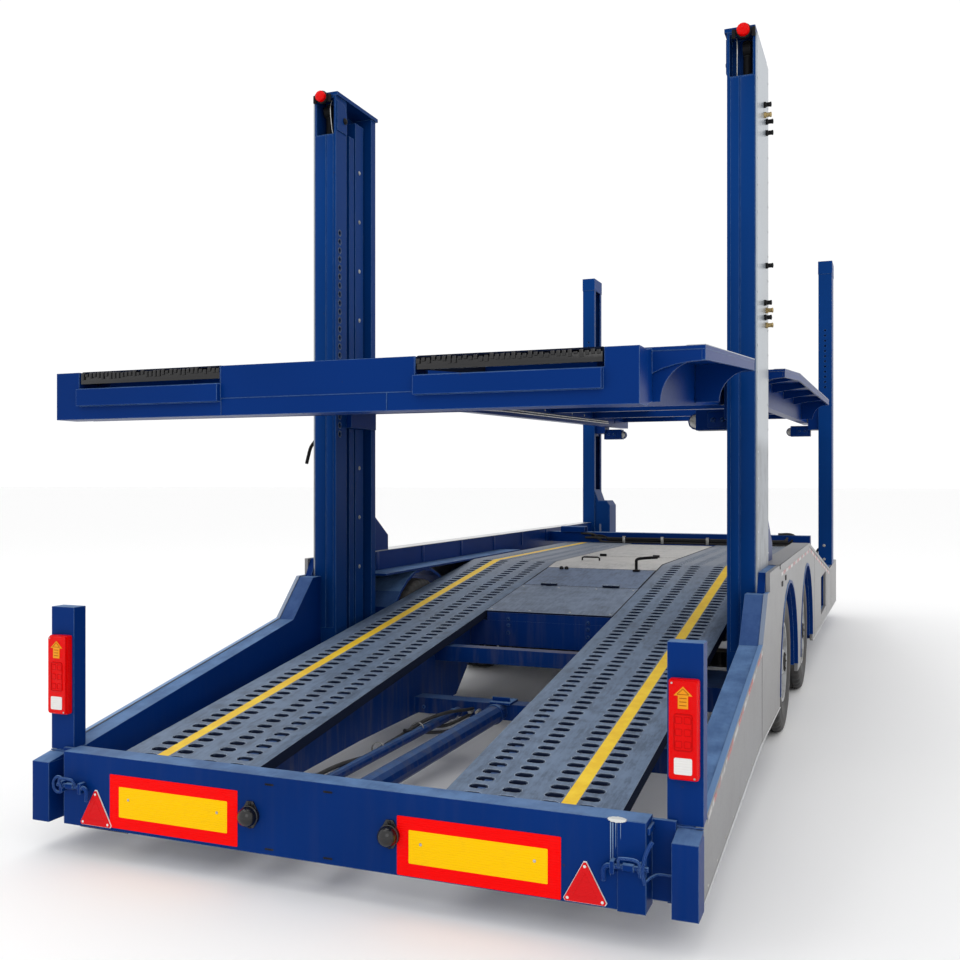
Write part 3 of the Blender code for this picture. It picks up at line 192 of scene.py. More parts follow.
class Wire:
    """A shader socket that takes part in arithmetic."""

    def __init__(self, shader: "Shader", socket: bpy.types.NodeSocket) -> None:
        """Keep the socket and the shader that it belongs to."""
        self.shader = shader
        self.socket = socket

    __add__ = __radd__ = operator("ADD")
    __mul__ = __rmul__ = operator("MULTIPLY")
    __sub__, __rsub__ = operator("SUBTRACT"), operator("SUBTRACT", swapped=True)
    __truediv__, __rtruediv__ = operator("DIVIDE"), operator("DIVIDE", swapped=True)
    __mod__ = operator("FLOORED_MODULO")
    __gt__ = operator("GREATER_THAN")
    __lt__ = operator("LESS_THAN")
    either = operator("MAXIMUM")

    def __abs__(self) -> "Wire":
        """Size of the value without its sign."""
        return self.shader.math("ABSOLUTE", self)

    def between(self, low: float, high: float, start: float = 0.0, end: float = 1.0) -> "Wire":
        """Ease a value from one range to another.

        Args:
            low: Value that gives the start.
            high: Value that gives the end.
            start: Result at the low value and below it.
            end: Result at the high value and above it.

        Returns:
            The eased value.
        """
        inputs = {"Value": self, "From Min": low, "From Max": high, "To Min": start, "To Max": end}
        return self.shader.wire("ShaderNodeMapRange", {"interpolation_type": "SMOOTHSTEP"}, inputs)


Number = Wire | float
Value = Wire | float | Sequence[float]


class Shader:
    """One material's node tree, built from expressions."""

    def __init__(self, name: str) -> None:
        """Start a material with one shader and its output."""
        self.material = bpy.data.materials.new(name)
        self.material.use_nodes = True
        self.tree = self.material.node_tree
        self.tree.nodes.clear()
        self.surface = self.node("ShaderNodeBsdfPrincipled")
        self.node("ShaderNodeOutputMaterial", {}, {"Surface": Wire(self, self.surface.outputs[0])})
        coordinates = self.node("ShaderNodeTexCoord")
        self.place = Wire(self, coordinates.outputs["Object"])
        self.facing = Wire(self, coordinates.outputs["Normal"])
        self.x, self.y, self.z = self.parts(self.place)

    def node(self, kind: str, settings: dict[str, Any] | None = None,
             inputs: dict[str | int, Value] | None = None) -> bpy.types.Node:
        """Add a node.

        Args:
            kind: The node's type.
            settings: Its own settings, set first.
            inputs: Values or links of its sockets, by name or number.

        Returns:
            The node.
        """
        made = self.tree.nodes.new(kind)
        for key, value in (settings or {}).items():
            setattr(made, key, value)
        for key, value in (inputs or {}).items():
            self.feed(made.inputs[key], value)
        return made

    def feed(self, socket: bpy.types.NodeSocket, value: Value) -> None:
        """Link a wire to a socket, or set the socket's own value."""
        if isinstance(value, Wire):
            self.tree.links.new(value.socket, socket)
        elif isinstance(value, (int, float)):
            socket.default_value = value
        else:
            numbers = tuple(value)
            if len(socket.default_value) == 4 and len(numbers) == 3:
                numbers = (*numbers, 1.0)
            socket.default_value = numbers

    def wire(self, kind: str, settings: dict[str, Any] | None = None,
             inputs: dict[str | int, Value] | None = None, output: str | int = 0) -> Wire:
        """Add a node and return one of its outputs."""
        return Wire(self, self.node(kind, settings, inputs).outputs[output])

    def math(self, operation: str, first: Number, second: Number = 0.0) -> Wire:
        """Add a Math node and return its result."""
        return self.wire("ShaderNodeMath", {"operation": operation}, {0: first, 1: second})

    def parts(self, vector: Wire) -> tuple[Wire, Wire, Wire]:
        """Split a vector into its X, Y and Z."""
        split = self.node("ShaderNodeSeparateXYZ", {}, {0: vector})
        return Wire(self, split.outputs[0]), Wire(self, split.outputs[1]), Wire(self, split.outputs[2])

    def blend(self, factor: Number, first: Value, second: Value) -> Wire:
        """Mix two colours."""
        return self.wire("ShaderNodeMix", {"data_type": "RGBA"}, {0: factor, 6: first, 7: second}, 2)

    def noise(self, scale: float, detail: float = 3.0, rough: float = 0.55, stretch: Point | None = None) -> Wire:
        """Smooth noise about one half.

        Args:
            scale: Bumps in a metre.
            detail: Octaves.
            rough: How strong the finer octaves are.
            stretch: Scale of each axis, where the noise is drawn out.

        Returns:
            The noise.
        """
        vector = self.place
        if stretch:
            vector = self.wire("ShaderNodeVectorMath", {"operation": "MULTIPLY"}, {0: vector, 1: stretch})
        return self.wire("ShaderNodeTexNoise", {}, {"Vector": vector, "Scale": scale, "Detail": detail,
                                                    "Roughness": rough})

    def upward(self, low: float = 0.55, high: float = 0.92) -> Wire:
        """One on faces that look up."""
        return self.parts(self.facing)[2].between(low, high)

    def rounded(self, radius: float) -> Wire:
        """The surface normal with its edges rounded to a radius."""
        return self.wire("ShaderNodeBevel", {"samples": 4}, {"Radius": radius})

    def edges(self, rounded: Wire, low: float = 0.015, high: float = 0.12) -> Wire:
        """One along the edges that a rounded normal smooths."""
        true = self.wire("ShaderNodeNewGeometry", output="Normal")
        dot = self.wire("ShaderNodeVectorMath", {"operation": "DOT_PRODUCT"}, {0: rounded, 1: true}, "Value")
        return (1.0 - dot).between(low, high)

    def relief(self, height: Number, distance: float, normal: Wire | None = None) -> Wire:
        """The normal of a height field, in metres."""
        inputs: dict[str | int, Value] = {"Height": height, "Distance": distance, "Strength": 1.0}
        if normal is not None:
            inputs["Normal"] = normal
        return self.wire("ShaderNodeBump", {}, inputs)

    def surface_set(self, **values: Value) -> None:
        """Set the shader's sockets, whose names are written with underscores."""
        for key, value in values.items():
            self.feed(self.surface.inputs[key.replace("_", " ").title().replace("Ior", "IOR")], value)


@dataclass(frozen=True)
class Finish:
    """A surface finish, made into a material once."""

    name: str
    slot: Slot

    def material(self) -> bpy.types.Material:
        """The finish as a material."""
        made = bpy.data.materials.get(self.name)
        if made is None:
            shader = Shader(self.name)
            self.shade(shader)
            made = shader.material
        return made

    def shade(self, shader: Shader) -> None:
        """Build the finish's nodes."""
        raise NotImplementedError


@dataclass(frozen=True)
class Paint(Finish):
    """Gloss paint on steel, pale on its upper faces and edges from wear and from a painted sheen and painted
    highlights, with dust, scratches and chips.
    """

    colour: Colour = (0.0005, 0.0235, 0.1480)
    # The pale colour of upper faces and edges: worn paint, and the painted sheen of the sky on them.
    worn: Colour = (0.150, 0.275, 0.500)
    rough: float = 0.30
    top_sheen_and_wear: float = 0.85
    edge_highlight_and_wear: float = 0.75
    dust: float = 0.03
    metallic: float = 0.0
    specular: float = 0.05
    radius: float = 0.004

    def shade(self, shader: Shader) -> None:
        """Build the paint."""
        rounded = shader.rounded(self.radius)
        broad = shader.noise(1.1, 2.0)
        patches = shader.noise(7.0, 5.0, 0.62)
        fine = shader.noise(55.0, 3.0)
        scratch = shader.noise(9.0, 4.0, 0.7, (6.0, 0.8, 6.0))
        drips = shader.noise(5.0, 4.0, 0.6, (5.0, 5.0, 0.5))
        up = shader.upward()
        # Upper faces are pale over most of their area and edges pale along their length: partly wear, partly a painted
        # sheen and painted edge highlights.
        rubbed = up * (patches * 0.6 + scratch * 0.5 + broad * 0.3).between(0.40, 0.85, 0.62, 1.0) * self.top_sheen_and_wear
        edge = shader.edges(rounded) * (fine + patches * 0.5).between(0.30, 0.85, 0.35, 1.0) * self.edge_highlight_and_wear
        chips = (shader.noise(38.0, 2.0, 0.5) * 0.7 + patches * 0.4).between(0.76, 0.80)
        low = shader.z.between(0.15, 1.3, 1.0, 0.0)
        grime = (low * drips.between(0.42, 0.74) + up * patches.between(0.5, 0.8) * 0.5) * self.dust
        shade = shader.blend(broad.between(0.3, 0.7), scaled(self.colour, 0.90), scaled(self.colour, 1.10))
        worn = shader.blend(patches.between(0.3, 0.7), scaled(self.worn, 0.72), self.worn)
        worn = shader.blend(up * broad.between(0.52, 0.72) * self.dust * 3.0, worn, (0.300, 0.260, 0.210))
        colour = shader.blend(rubbed.either(edge), shade, worn)
        colour = shader.blend(chips * 0.55, colour, (0.030, 0.028, 0.030))
        colour = shader.blend(grime, colour, (0.120, 0.112, 0.105))
        peel = shader.noise(420.0, 1.0) * 0.04 + scratch * 0.08 + patches * 0.10 - chips * 0.25
        shader.surface_set(
            base_color=colour, roughness=rubbed * 0.22 + grime * 0.3 + fine * 0.08 + self.rough,
            metallic=self.metallic, normal=shader.relief(peel, 0.0010, rounded), specular_ior_level=self.specular)


@dataclass(frozen=True)
class TrackSteel(Finish):
    """Blue-grey track plate, scuffed along its length, tan with dust on the hump, with a painted stripe, painted shade
    on its walls and painted highlights on its lips.
    """

    stripe: float = 0.0
    tan: float = 0.0
    dusted: Colour = (0.250, 0.265, 0.300)
    base: Colour = (0.125, 0.172, 0.250)

    def shade(self, shader: Shader) -> None:
        """Build the plate."""
        rounded = shader.rounded(0.0022)
        broad = shader.noise(1.6, 3.0)
        patches = shader.noise(11.0, 6.0, 0.65)
        scuffs = shader.noise(14.0, 5.0, 0.7, (5.0, 0.45, 5.0))
        fine = shader.noise(140.0, 2.0)
        up = shader.upward(0.5, 0.9)
        rubbed = (scuffs * 0.7 + patches * 0.45 + broad * 0.25).between(0.52, 0.86)
        plate = shader.blend(patches.between(0.3, 0.72), scaled(self.base, 0.74), self.base)
        plate = shader.blend(rubbed * 0.60 * up, plate, scaled(self.base, 1.75))
        # Pale lips along the rounded edges of the slots and folds: a painted highlight.
        plate = shader.blend(shader.edges(rounded, 0.006, 0.05), plate, (0.62, 0.69, 0.78))
        hump = shader.y.between(-2.35, -0.9) * (patches * 0.5 + broad * 0.5 + 0.4).between(0.5, 1.0) * self.tan * up
        plate = shader.blend(hump * 0.75, plate, self.dusted)
        # Faces that don't look up, the walls of the slots and folds, are painted near black: painted shade of the
        # hollow under the plate.
        side = shader.upward(0.25, 0.75)
        plate = shader.blend(1.0 - side, plate, (0.0015, 0.0060, 0.0240))
        band = (abs(abs(shader.x) - 0.8165) < 0.0255) * up * self.stripe
        lasting = (scuffs * 0.6 + fine * 0.35 + patches * 0.3).between(0.82, 0.95, 1.0, 0.55)
        yellow = shader.blend(patches.between(0.35, 0.7), (0.900, 0.560, 0.024), (1.000, 0.690, 0.045))
        colour = shader.blend(band * lasting, plate, yellow)
        height = scuffs * 0.35 + fine * 0.15 + patches * 0.3
        shader.surface_set(base_color=colour, roughness=fine * 0.12 + patches * 0.16 + 0.40 + (1.0 - side) * 0.5,
                           metallic=(1.0 - band) * side * 0.15, normal=shader.relief(height, 0.0012, rounded),
                           specular_ior_level=0.22)


@dataclass(frozen=True)
class Sheet(Finish):
    """Silver sheet with a faint waviness, darkening towards the bottom from run-down dirt and, on the post cladding, a
    painted dark reflection, and handling marks.
    """

    base: Colour = (0.470, 0.475, 0.480)
    metallic: float = 0.55
    rough: float = 0.34
    dirt: float = 0.6
    darkening_top: float = 1.0
    rim: Colour | None = None

    def shade(self, shader: Shader) -> None:
        """Build the sheet."""
        rounded = shader.rounded(0.002)
        broad = shader.noise(0.9, 2.0)
        streak = shader.noise(6.0, 5.0, 0.65, (1.0, 4.0, 0.4))
        patches = shader.noise(8.0, 6.0, 0.6)
        fine = shader.noise(90.0, 2.0)
        # Darker towards the bottom: run-down dirt, and on the post cladding a painted dark reflection.
        low = shader.z.between(self.darkening_top - 0.10, self.darkening_top, 1.0, 0.12)
        grime = ((streak * 0.35 + patches * 0.65).between(0.42, 0.80) * 0.6 + 0.4) * low * self.dirt
        warm = tuple(c * w for c, w in zip(self.base, (0.88, 0.86, 0.83)))
        colour = shader.blend(broad.between(0.3, 0.7), self.base, warm)
        colour = shader.blend(grime * 0.8, colour, (0.170, 0.152, 0.150))
        # Upward faces behind the rear post take the blue paint's pale top colour: blue paint with a painted sheen.
        if self.rim is not None:
            behind = shader.upward() * (shader.y < LAY.y(LAY.post_start))
            colour = shader.blend(behind, colour, self.rim)
        colour = shader.blend((fine * 0.6 + patches * 0.4).between(0.66, 0.72) * 0.3, colour, (0.09, 0.09, 0.09))
        height = broad * 1.6 + patches * 0.25 + fine * 0.03
        shader.surface_set(base_color=colour, roughness=grime * 0.35 + fine * 0.10 + self.rough,
                           metallic=self.metallic, normal=shader.relief(height, 0.0016, rounded))


@dataclass(frozen=True)
class Rubber(Finish):
    """Black rubber with a dusty bloom."""

    base: Colour = (0.014, 0.014, 0.015)
    bloom: float = 0.5
    rough: float = 0.55

    def shade(self, shader: Shader) -> None:
        """Build the rubber."""
        patches = shader.noise(9.0, 5.0, 0.6)
        fine = shader.noise(160.0, 3.0)
        dust = (patches * 0.7 + fine * 0.3).between(0.42, 0.72) * self.bloom
        colour = shader.blend(dust, self.base, (0.090, 0.080, 0.070))
        shader.surface_set(base_color=colour, roughness=dust * 0.25 + fine * 0.1 + self.rough,
                           normal=shader.relief(fine * 0.4 + patches * 0.5, 0.0008))


@dataclass(frozen=True)
class Lens(Finish):
    """Moulded lens with fine ribs and a clear skin."""

    base: Colour = (0.82, 0.0006, 0.0008)
    pitch: float = 0.006

    def shade(self, shader: Shader) -> None:
        """Build the lens."""
        across = shader.x / self.pitch * math.tau
        down = shader.z / self.pitch * math.tau
        ribs = shader.math("SINE", across) * shader.math("SINE", down)
        patches = shader.noise(30.0, 3.0)
        colour = shader.blend(ribs.between(-0.8, 0.8) * 0.35 + patches * 0.2, self.base,
                              scaled(self.base, 0.55))
        shader.surface_set(base_color=colour, roughness=patches * 0.1 + 0.14, normal=shader.relief(ribs, 0.0004),
                           specular_ior_level=0.10)


@dataclass(frozen=True)
class Reflector(Finish):
    """Reflective plate sheeting with a fine cell pattern."""

    base: Colour = (0.86, 0.0012, 0.0012)
    cell: float = 0.008
    glow: float = 0.07

    def shade(self, shader: Shader) -> None:
        """Build the sheeting."""
        cells = shader.math("SINE", shader.z / self.cell * math.tau)
        dirt = shader.noise(14.0, 5.0, 0.6).between(0.55, 0.8)
        colour = shader.blend(dirt * 0.18, self.base, scaled(self.base, 0.55, 0.02))
        colour = shader.blend(cells.between(-1.0, 1.0) * 0.08, colour, scaled(self.base, 0.7))
        # The sheeting glows a little, though it is no lamp: painted light.
        shader.surface_set(base_color=colour, roughness=dirt * 0.2 + 0.30, emission_color=colour,
                           normal=shader.relief(cells, 0.00025), emission_strength=self.glow, specular_ior_level=0.06)


@dataclass(frozen=True)
class Metal(Finish):
    """Bare or plated metal with a tarnish."""

    base: Colour = (0.52, 0.52, 0.50)
    tarnish: Colour = (0.20, 0.17, 0.13)
    rough: float = 0.32

    def shade(self, shader: Shader) -> None:
        """Build the metal."""
        patches = shader.noise(40.0, 5.0, 0.6)
        fine = shader.noise(300.0, 2.0)
        colour = shader.blend(patches.between(0.42, 0.72) * 0.7, self.base, self.tarnish)
        shader.surface_set(base_color=colour, roughness=patches * 0.25 + self.rough, metallic=0.85,
                           normal=shader.relief(fine * 0.5 + patches * 0.5, 0.0004))


@dataclass(frozen=True)
class Tape(Finish):
    """Conspicuity tape in turns of red and white along its length."""

    turn: float = 0.30

    def shade(self, shader: Shader) -> None:
        """Build the tape."""
        red = (shader.y % self.turn) > self.turn * 0.5
        wear = shader.noise(24.0, 5.0, 0.65).between(0.44, 0.60)
        colour = shader.blend(red, (0.46, 0.45, 0.44), (0.42, 0.035, 0.030))
        colour = shader.blend(wear * 0.9, colour, (0.270, 0.262, 0.270))
        cells = shader.math("SINE", shader.y / 0.004 * math.tau) * shader.math("SINE", shader.z / 0.004 * math.tau)
        shader.surface_set(base_color=colour, roughness=wear * 0.2 + 0.28, normal=shader.relief(cells, 0.0002))


@dataclass(frozen=True)
class Ground(Finish):
    """Plain pale studio floor."""

    def shade(self, shader: Shader) -> None:
        """Build the floor."""
        shader.surface_set(base_color=(0.93, 0.93, 0.93), roughness=0.9)


BLUE = Paint("blue paint", Slot.BLUE)
BLUE_DEEP = Paint("blue paint, sheltered", Slot.BLUE, top_sheen_and_wear=0.35, edge_highlight_and_wear=0.35, dust=0.20)
BLUE_POST = Paint("blue paint, posts", Slot.BLUE, colour=(0.0018, 0.0330, 0.1600), top_sheen_and_wear=0.5, edge_highlight_and_wear=0.8,
                  dust=0.02, rough=0.30, specular=0.03)
# Pale blue for the rims round the post's holes: rubbed paint and a painted highlight.
RUBBED_AND_HIGHLIGHT = Paint("blue paint, rubbed and painted highlight", Slot.BLUE, colour=(0.120, 0.220, 0.400), dust=0.0)
BLUE_WING = Paint("blue paint, scraped", Slot.BLUE, worn=(0.20, 0.24, 0.30), top_sheen_and_wear=1.0, edge_highlight_and_wear=1.0, dust=0.2)
UNDERSIDE = Paint("chassis paint, dusty", Slot.BLUE, colour=(0.0012, 0.0240, 0.1350), top_sheen_and_wear=0.4, edge_highlight_and_wear=0.4,
                  dust=0.35)
AXLE = Paint("black chassis paint", Slot.AXLE, colour=(0.010, 0.010, 0.011), worn=(0.05, 0.045, 0.04), rough=0.5,
             top_sheen_and_wear=0.5, dust=0.6)
RIM = Paint("silver wheel paint", Slot.WHEEL, colour=(0.40, 0.41, 0.42), worn=(0.50, 0.50, 0.49), rough=0.38,
            top_sheen_and_wear=0.3, edge_highlight_and_wear=0.3, dust=0.75, metallic=0.35)
TRACK = TrackSteel("lower track plate", Slot.TRACK, stripe=1.0, tan=1.0)
COVER = TrackSteel("cover plate", Slot.TRACK, tan=0.6, base=(0.150, 0.190, 0.262))
FRONT_COVER = TrackSteel("front cover plate", Slot.TRACK, tan=1.0, dusted=(0.560, 0.535, 0.500),
                         base=(0.400, 0.405, 0.410))
LID = TrackSteel("hatch plate", Slot.TRACK, tan=0.1, base=(0.118, 0.158, 0.240))
UPPER_TRACK = TrackSteel("upper track plate", Slot.UPPER, base=(0.130, 0.150, 0.175))
# The panel's upward rim behind the rear post is coloured as pale blue paint, which holds a painted sheen.
PANEL = Sheet("side panel sheet", Slot.SILVER, base=(0.242, 0.244, 0.254), metallic=0.25, rough=0.34, dirt=0.20,
              rim=(0.150, 0.275, 0.500))
# The cladding is darker below 1.66 m: run-down dirt and a painted dark reflection below the wing.
CLADDING = Sheet("post cladding sheet", Slot.SILVER, base=(0.355, 0.400, 0.448), metallic=0.40, rough=0.24, dirt=0.95,
                 darkening_top=1.66)
TRIM = Sheet("bright edge trim", Slot.SILVER, base=(0.640, 0.660, 0.680), metallic=0.8, rough=0.26, dirt=0.4)
TYRE = Rubber("tyre rubber", Slot.TYRE, bloom=0.75)
RUBBER = Rubber("moulded rubber", Slot.RUBBER, bloom=0.25)
HOSE = Rubber("hose rubber", Slot.RUBBER, base=(0.010, 0.010, 0.011), bloom=0.35)
GLOSS_RUBBER = Rubber("smooth moulded rubber", Slot.RUBBER, base=(0.006, 0.006, 0.007), bloom=0.04, rough=0.14)
RED_LENS = Lens("red lens", Slot.LAMP)
AMBER_LENS = Lens("amber lens", Slot.LAMP, base=(0.92, 0.36, 0.015))
DARK_LENS = Lens("dark red lens", Slot.LAMP, base=(0.62, 0.0006, 0.0008))
DARK_AMBER = Lens("dark amber lens", Slot.LAMP, base=(0.40, 0.10, 0.003))
RED_SHEET = Reflector("red sheeting", Slot.LAMP)
YELLOW_SHEET = Reflector("yellow sheeting", Slot.LAMP, base=(0.90, 0.52, 0.0006))
RED_PRISM = Reflector("red prism reflector", Slot.LAMP, base=(0.64, 0.0090, 0.0120), cell=0.005, glow=0.06)
WHITE = Reflector("white plate", Slot.SILVER, base=(0.72, 0.71, 0.69), glow=0.02)
ZINC = Metal("zinc plated steel", Slot.SILVER)
RUSTED = Metal("rusted plate", Slot.AXLE, base=(0.085, 0.042, 0.022), tarnish=(0.030, 0.022, 0.016), rough=0.6)
SPLASH = Reflector("dried splash", Slot.SILVER, base=(0.66, 0.68, 0.66), glow=0.0)
DRIPS = Reflector("faint drips", Slot.SILVER, base=(0.20, 0.30, 0.46), glow=0.0)
BRASS = Metal("brass fitting", Slot.SILVER, base=(0.46, 0.34, 0.15), tarnish=(0.10, 0.07, 0.04))
BLACK = Paint("black fitting", Slot.AXLE, colour=(0.012, 0.012, 0.013), worn=(0.08, 0.08, 0.08), rough=0.35,
              top_sheen_and_wear=0.3, edge_highlight_and_wear=0.5, dust=0.2)
TAPE = Tape("edge tape", Slot.LAMP)
GROUND = Ground("studio floor", Slot.SILVER)


# Shapes


UP: Point = (0, 0, 1)
BACK: Point = (0, -1, 0)
AHEAD: Point = (0, 1, 0)
ACROSS: Point = (1, 0, 0)
SIGNS = (-1, 1)

# The Y of the rear crossmember's face, and how far thin pieces stand off a face
FACE = LAY.y(0.0)
GAP = 0.0004

# How long one ripple of a weld is
WELD_STEP = 0.012


def smooth_path(points: Sequence[Point], steps: int) -> list[Vector]:
    """Draw a smooth curve through points.

    Args:
        points: The points, first and last included.
        steps: How many pieces each stretch gets.

    Returns:
        The points of the curve.
    """
    knots = [Vector(p) for p in points]
    knots = [knots[0] * 2 - knots[1], *knots, knots[-1] * 2 - knots[-2]]
    curve = []
    for a, b, c, d in zip(knots, knots[1:], knots[2:], knots[3:]):
        for step in range(steps):
            t = step / steps
            curve.append(0.5 * (2 * b + (c - a) * t + (2 * a - 5 * b + 4 * c - d) * t * t
                                + (3 * b - a - 3 * c + d) * t ** 3))
    return curve + [knots[-2]]


def turns(start: int, end: int, step: int) -> list[float]:
    """Angles from a range of degrees."""
    return [math.radians(angle) for angle in range(start, end, step)]


def arc(x: float, z: float, radius: float, angles: Sequence[float]) -> list[Flat]:
    """Points round a centre."""
    return [(x + radius * math.cos(turn), z + radius * math.sin(turn)) for turn in angles]


def rounded_box(left: float, right: float, low: float, high: float, radius: float, steps: int = 3) -> list[Flat]:
    """Draw a rectangle with round corners.

    Args:
        left: Its left edge.
        right: Its right edge.
        low: Its lower edge.
        high: Its upper edge.
        radius: The corners' radius.
        steps: How many pieces each corner gets.

    Returns:
        Its points, round from the lower right corner.
    """
    points = []
    for x, z, first in ((right - radius, low + radius, -90), (right - radius, high - radius, 0),
                        (left + radius, high - radius, 90), (left + radius, low + radius, 180)):
        points += arc(x, z, radius, [math.radians(first + 90 * step / steps) for step in range(steps + 1)])
    return points


def blunted(corners: Sequence[Flat], cut: float) -> list[Flat]:
    """Cut each corner of an outline back by a distance along both its edges."""
    points = []
    for index, corner in enumerate(corners):
        for other in (corners[index - 1], corners[(index + 1) % len(corners)]):
            length = math.dist(corner, other)
            points.append(tuple(c + (o - c) * cut / length for c, o in zip(corner, other)))
    return points


def drawn_in(points: Sequence[Flat], middle: Flat, share: float) -> list[Flat]:
    """Draw points towards a middle, to a share of their distance from it."""
    return [tuple(m + (p - m) * share for p, m in zip(point, middle)) for point in points]


def strip(first: Flat, last: Flat, low: float, high: float) -> list[Flat]:
    """The outline of a strip along a line, between two heights above it."""
    (a, za), (b, zb) = first, last
    return [(a, za + low), (b, zb + low), (b, zb + high), (a, za + high)]


def closed(points: Sequence[Flat]) -> list[tuple[Flat, Flat]]:
    """The edges of a closed outline."""
    return list(zip(points, [*points[1:], points[0]]))


def wobble(path: Sequence[Point], size: float) -> list[Point]:
    """Break a path into short pieces, each moved a little, as a hand-laid weld is."""
    rng = random.Random(int(abs(path[0][0]) * 1000 + abs(path[-1][2]) * 100))
    points = []
    for a, b in zip(path, path[1:]):
        count = max(2, int(math.dist(a, b) / WELD_STEP))
        for index in range(count + 1):
            points.append(tuple(p + (q - p) * index / count + rng.uniform(-size, size) for p, q in zip(a, b)))
    return points


def banded(count: int, loops: int, first: int = 0) -> list[tuple[int, ...]]:
    """Join loops of points that follow each other.

    Args:
        count: How many points each loop has.
        loops: How many loops there are.
        first: The number of the first loop's first point.

    Returns:
        The faces between each loop and the next.
    """
    faces = []
    for base in range(first, first + (loops - 1) * count, count):
        for index in range(count):
            following = (index + 1) % count
            faces.append((base + index, base + following, base + count + following, base + count + index))
    return faces


def in_rear(y: float) -> Placer:
    """Place an outline drawn from behind, with its thickness running rearwards from a Y."""
    return lambda across, up, through: (across, y - through, up)


def in_side(x: float, sign: int) -> Placer:
    """Place an outline of (station, height), with its thickness running outwards from an X."""
    return lambda across, up, through: (x + sign * through, LAY.y(across), up)


def beside(path: Sequence[Point], sign: int, y: float, z: float) -> list[Point]:
    """Place points of (distance outwards, behind, above) on one side, from a Y and a height."""
    return [(sign * out, y - behind, z + above) for out, behind, above in path]


def placed(name: str, data: bpy.types.ID) -> Object:
    """Put an object into the scene."""
    made = bpy.data.objects.new(name, data)
    bpy.context.scene.collection.objects.link(made)
    return made


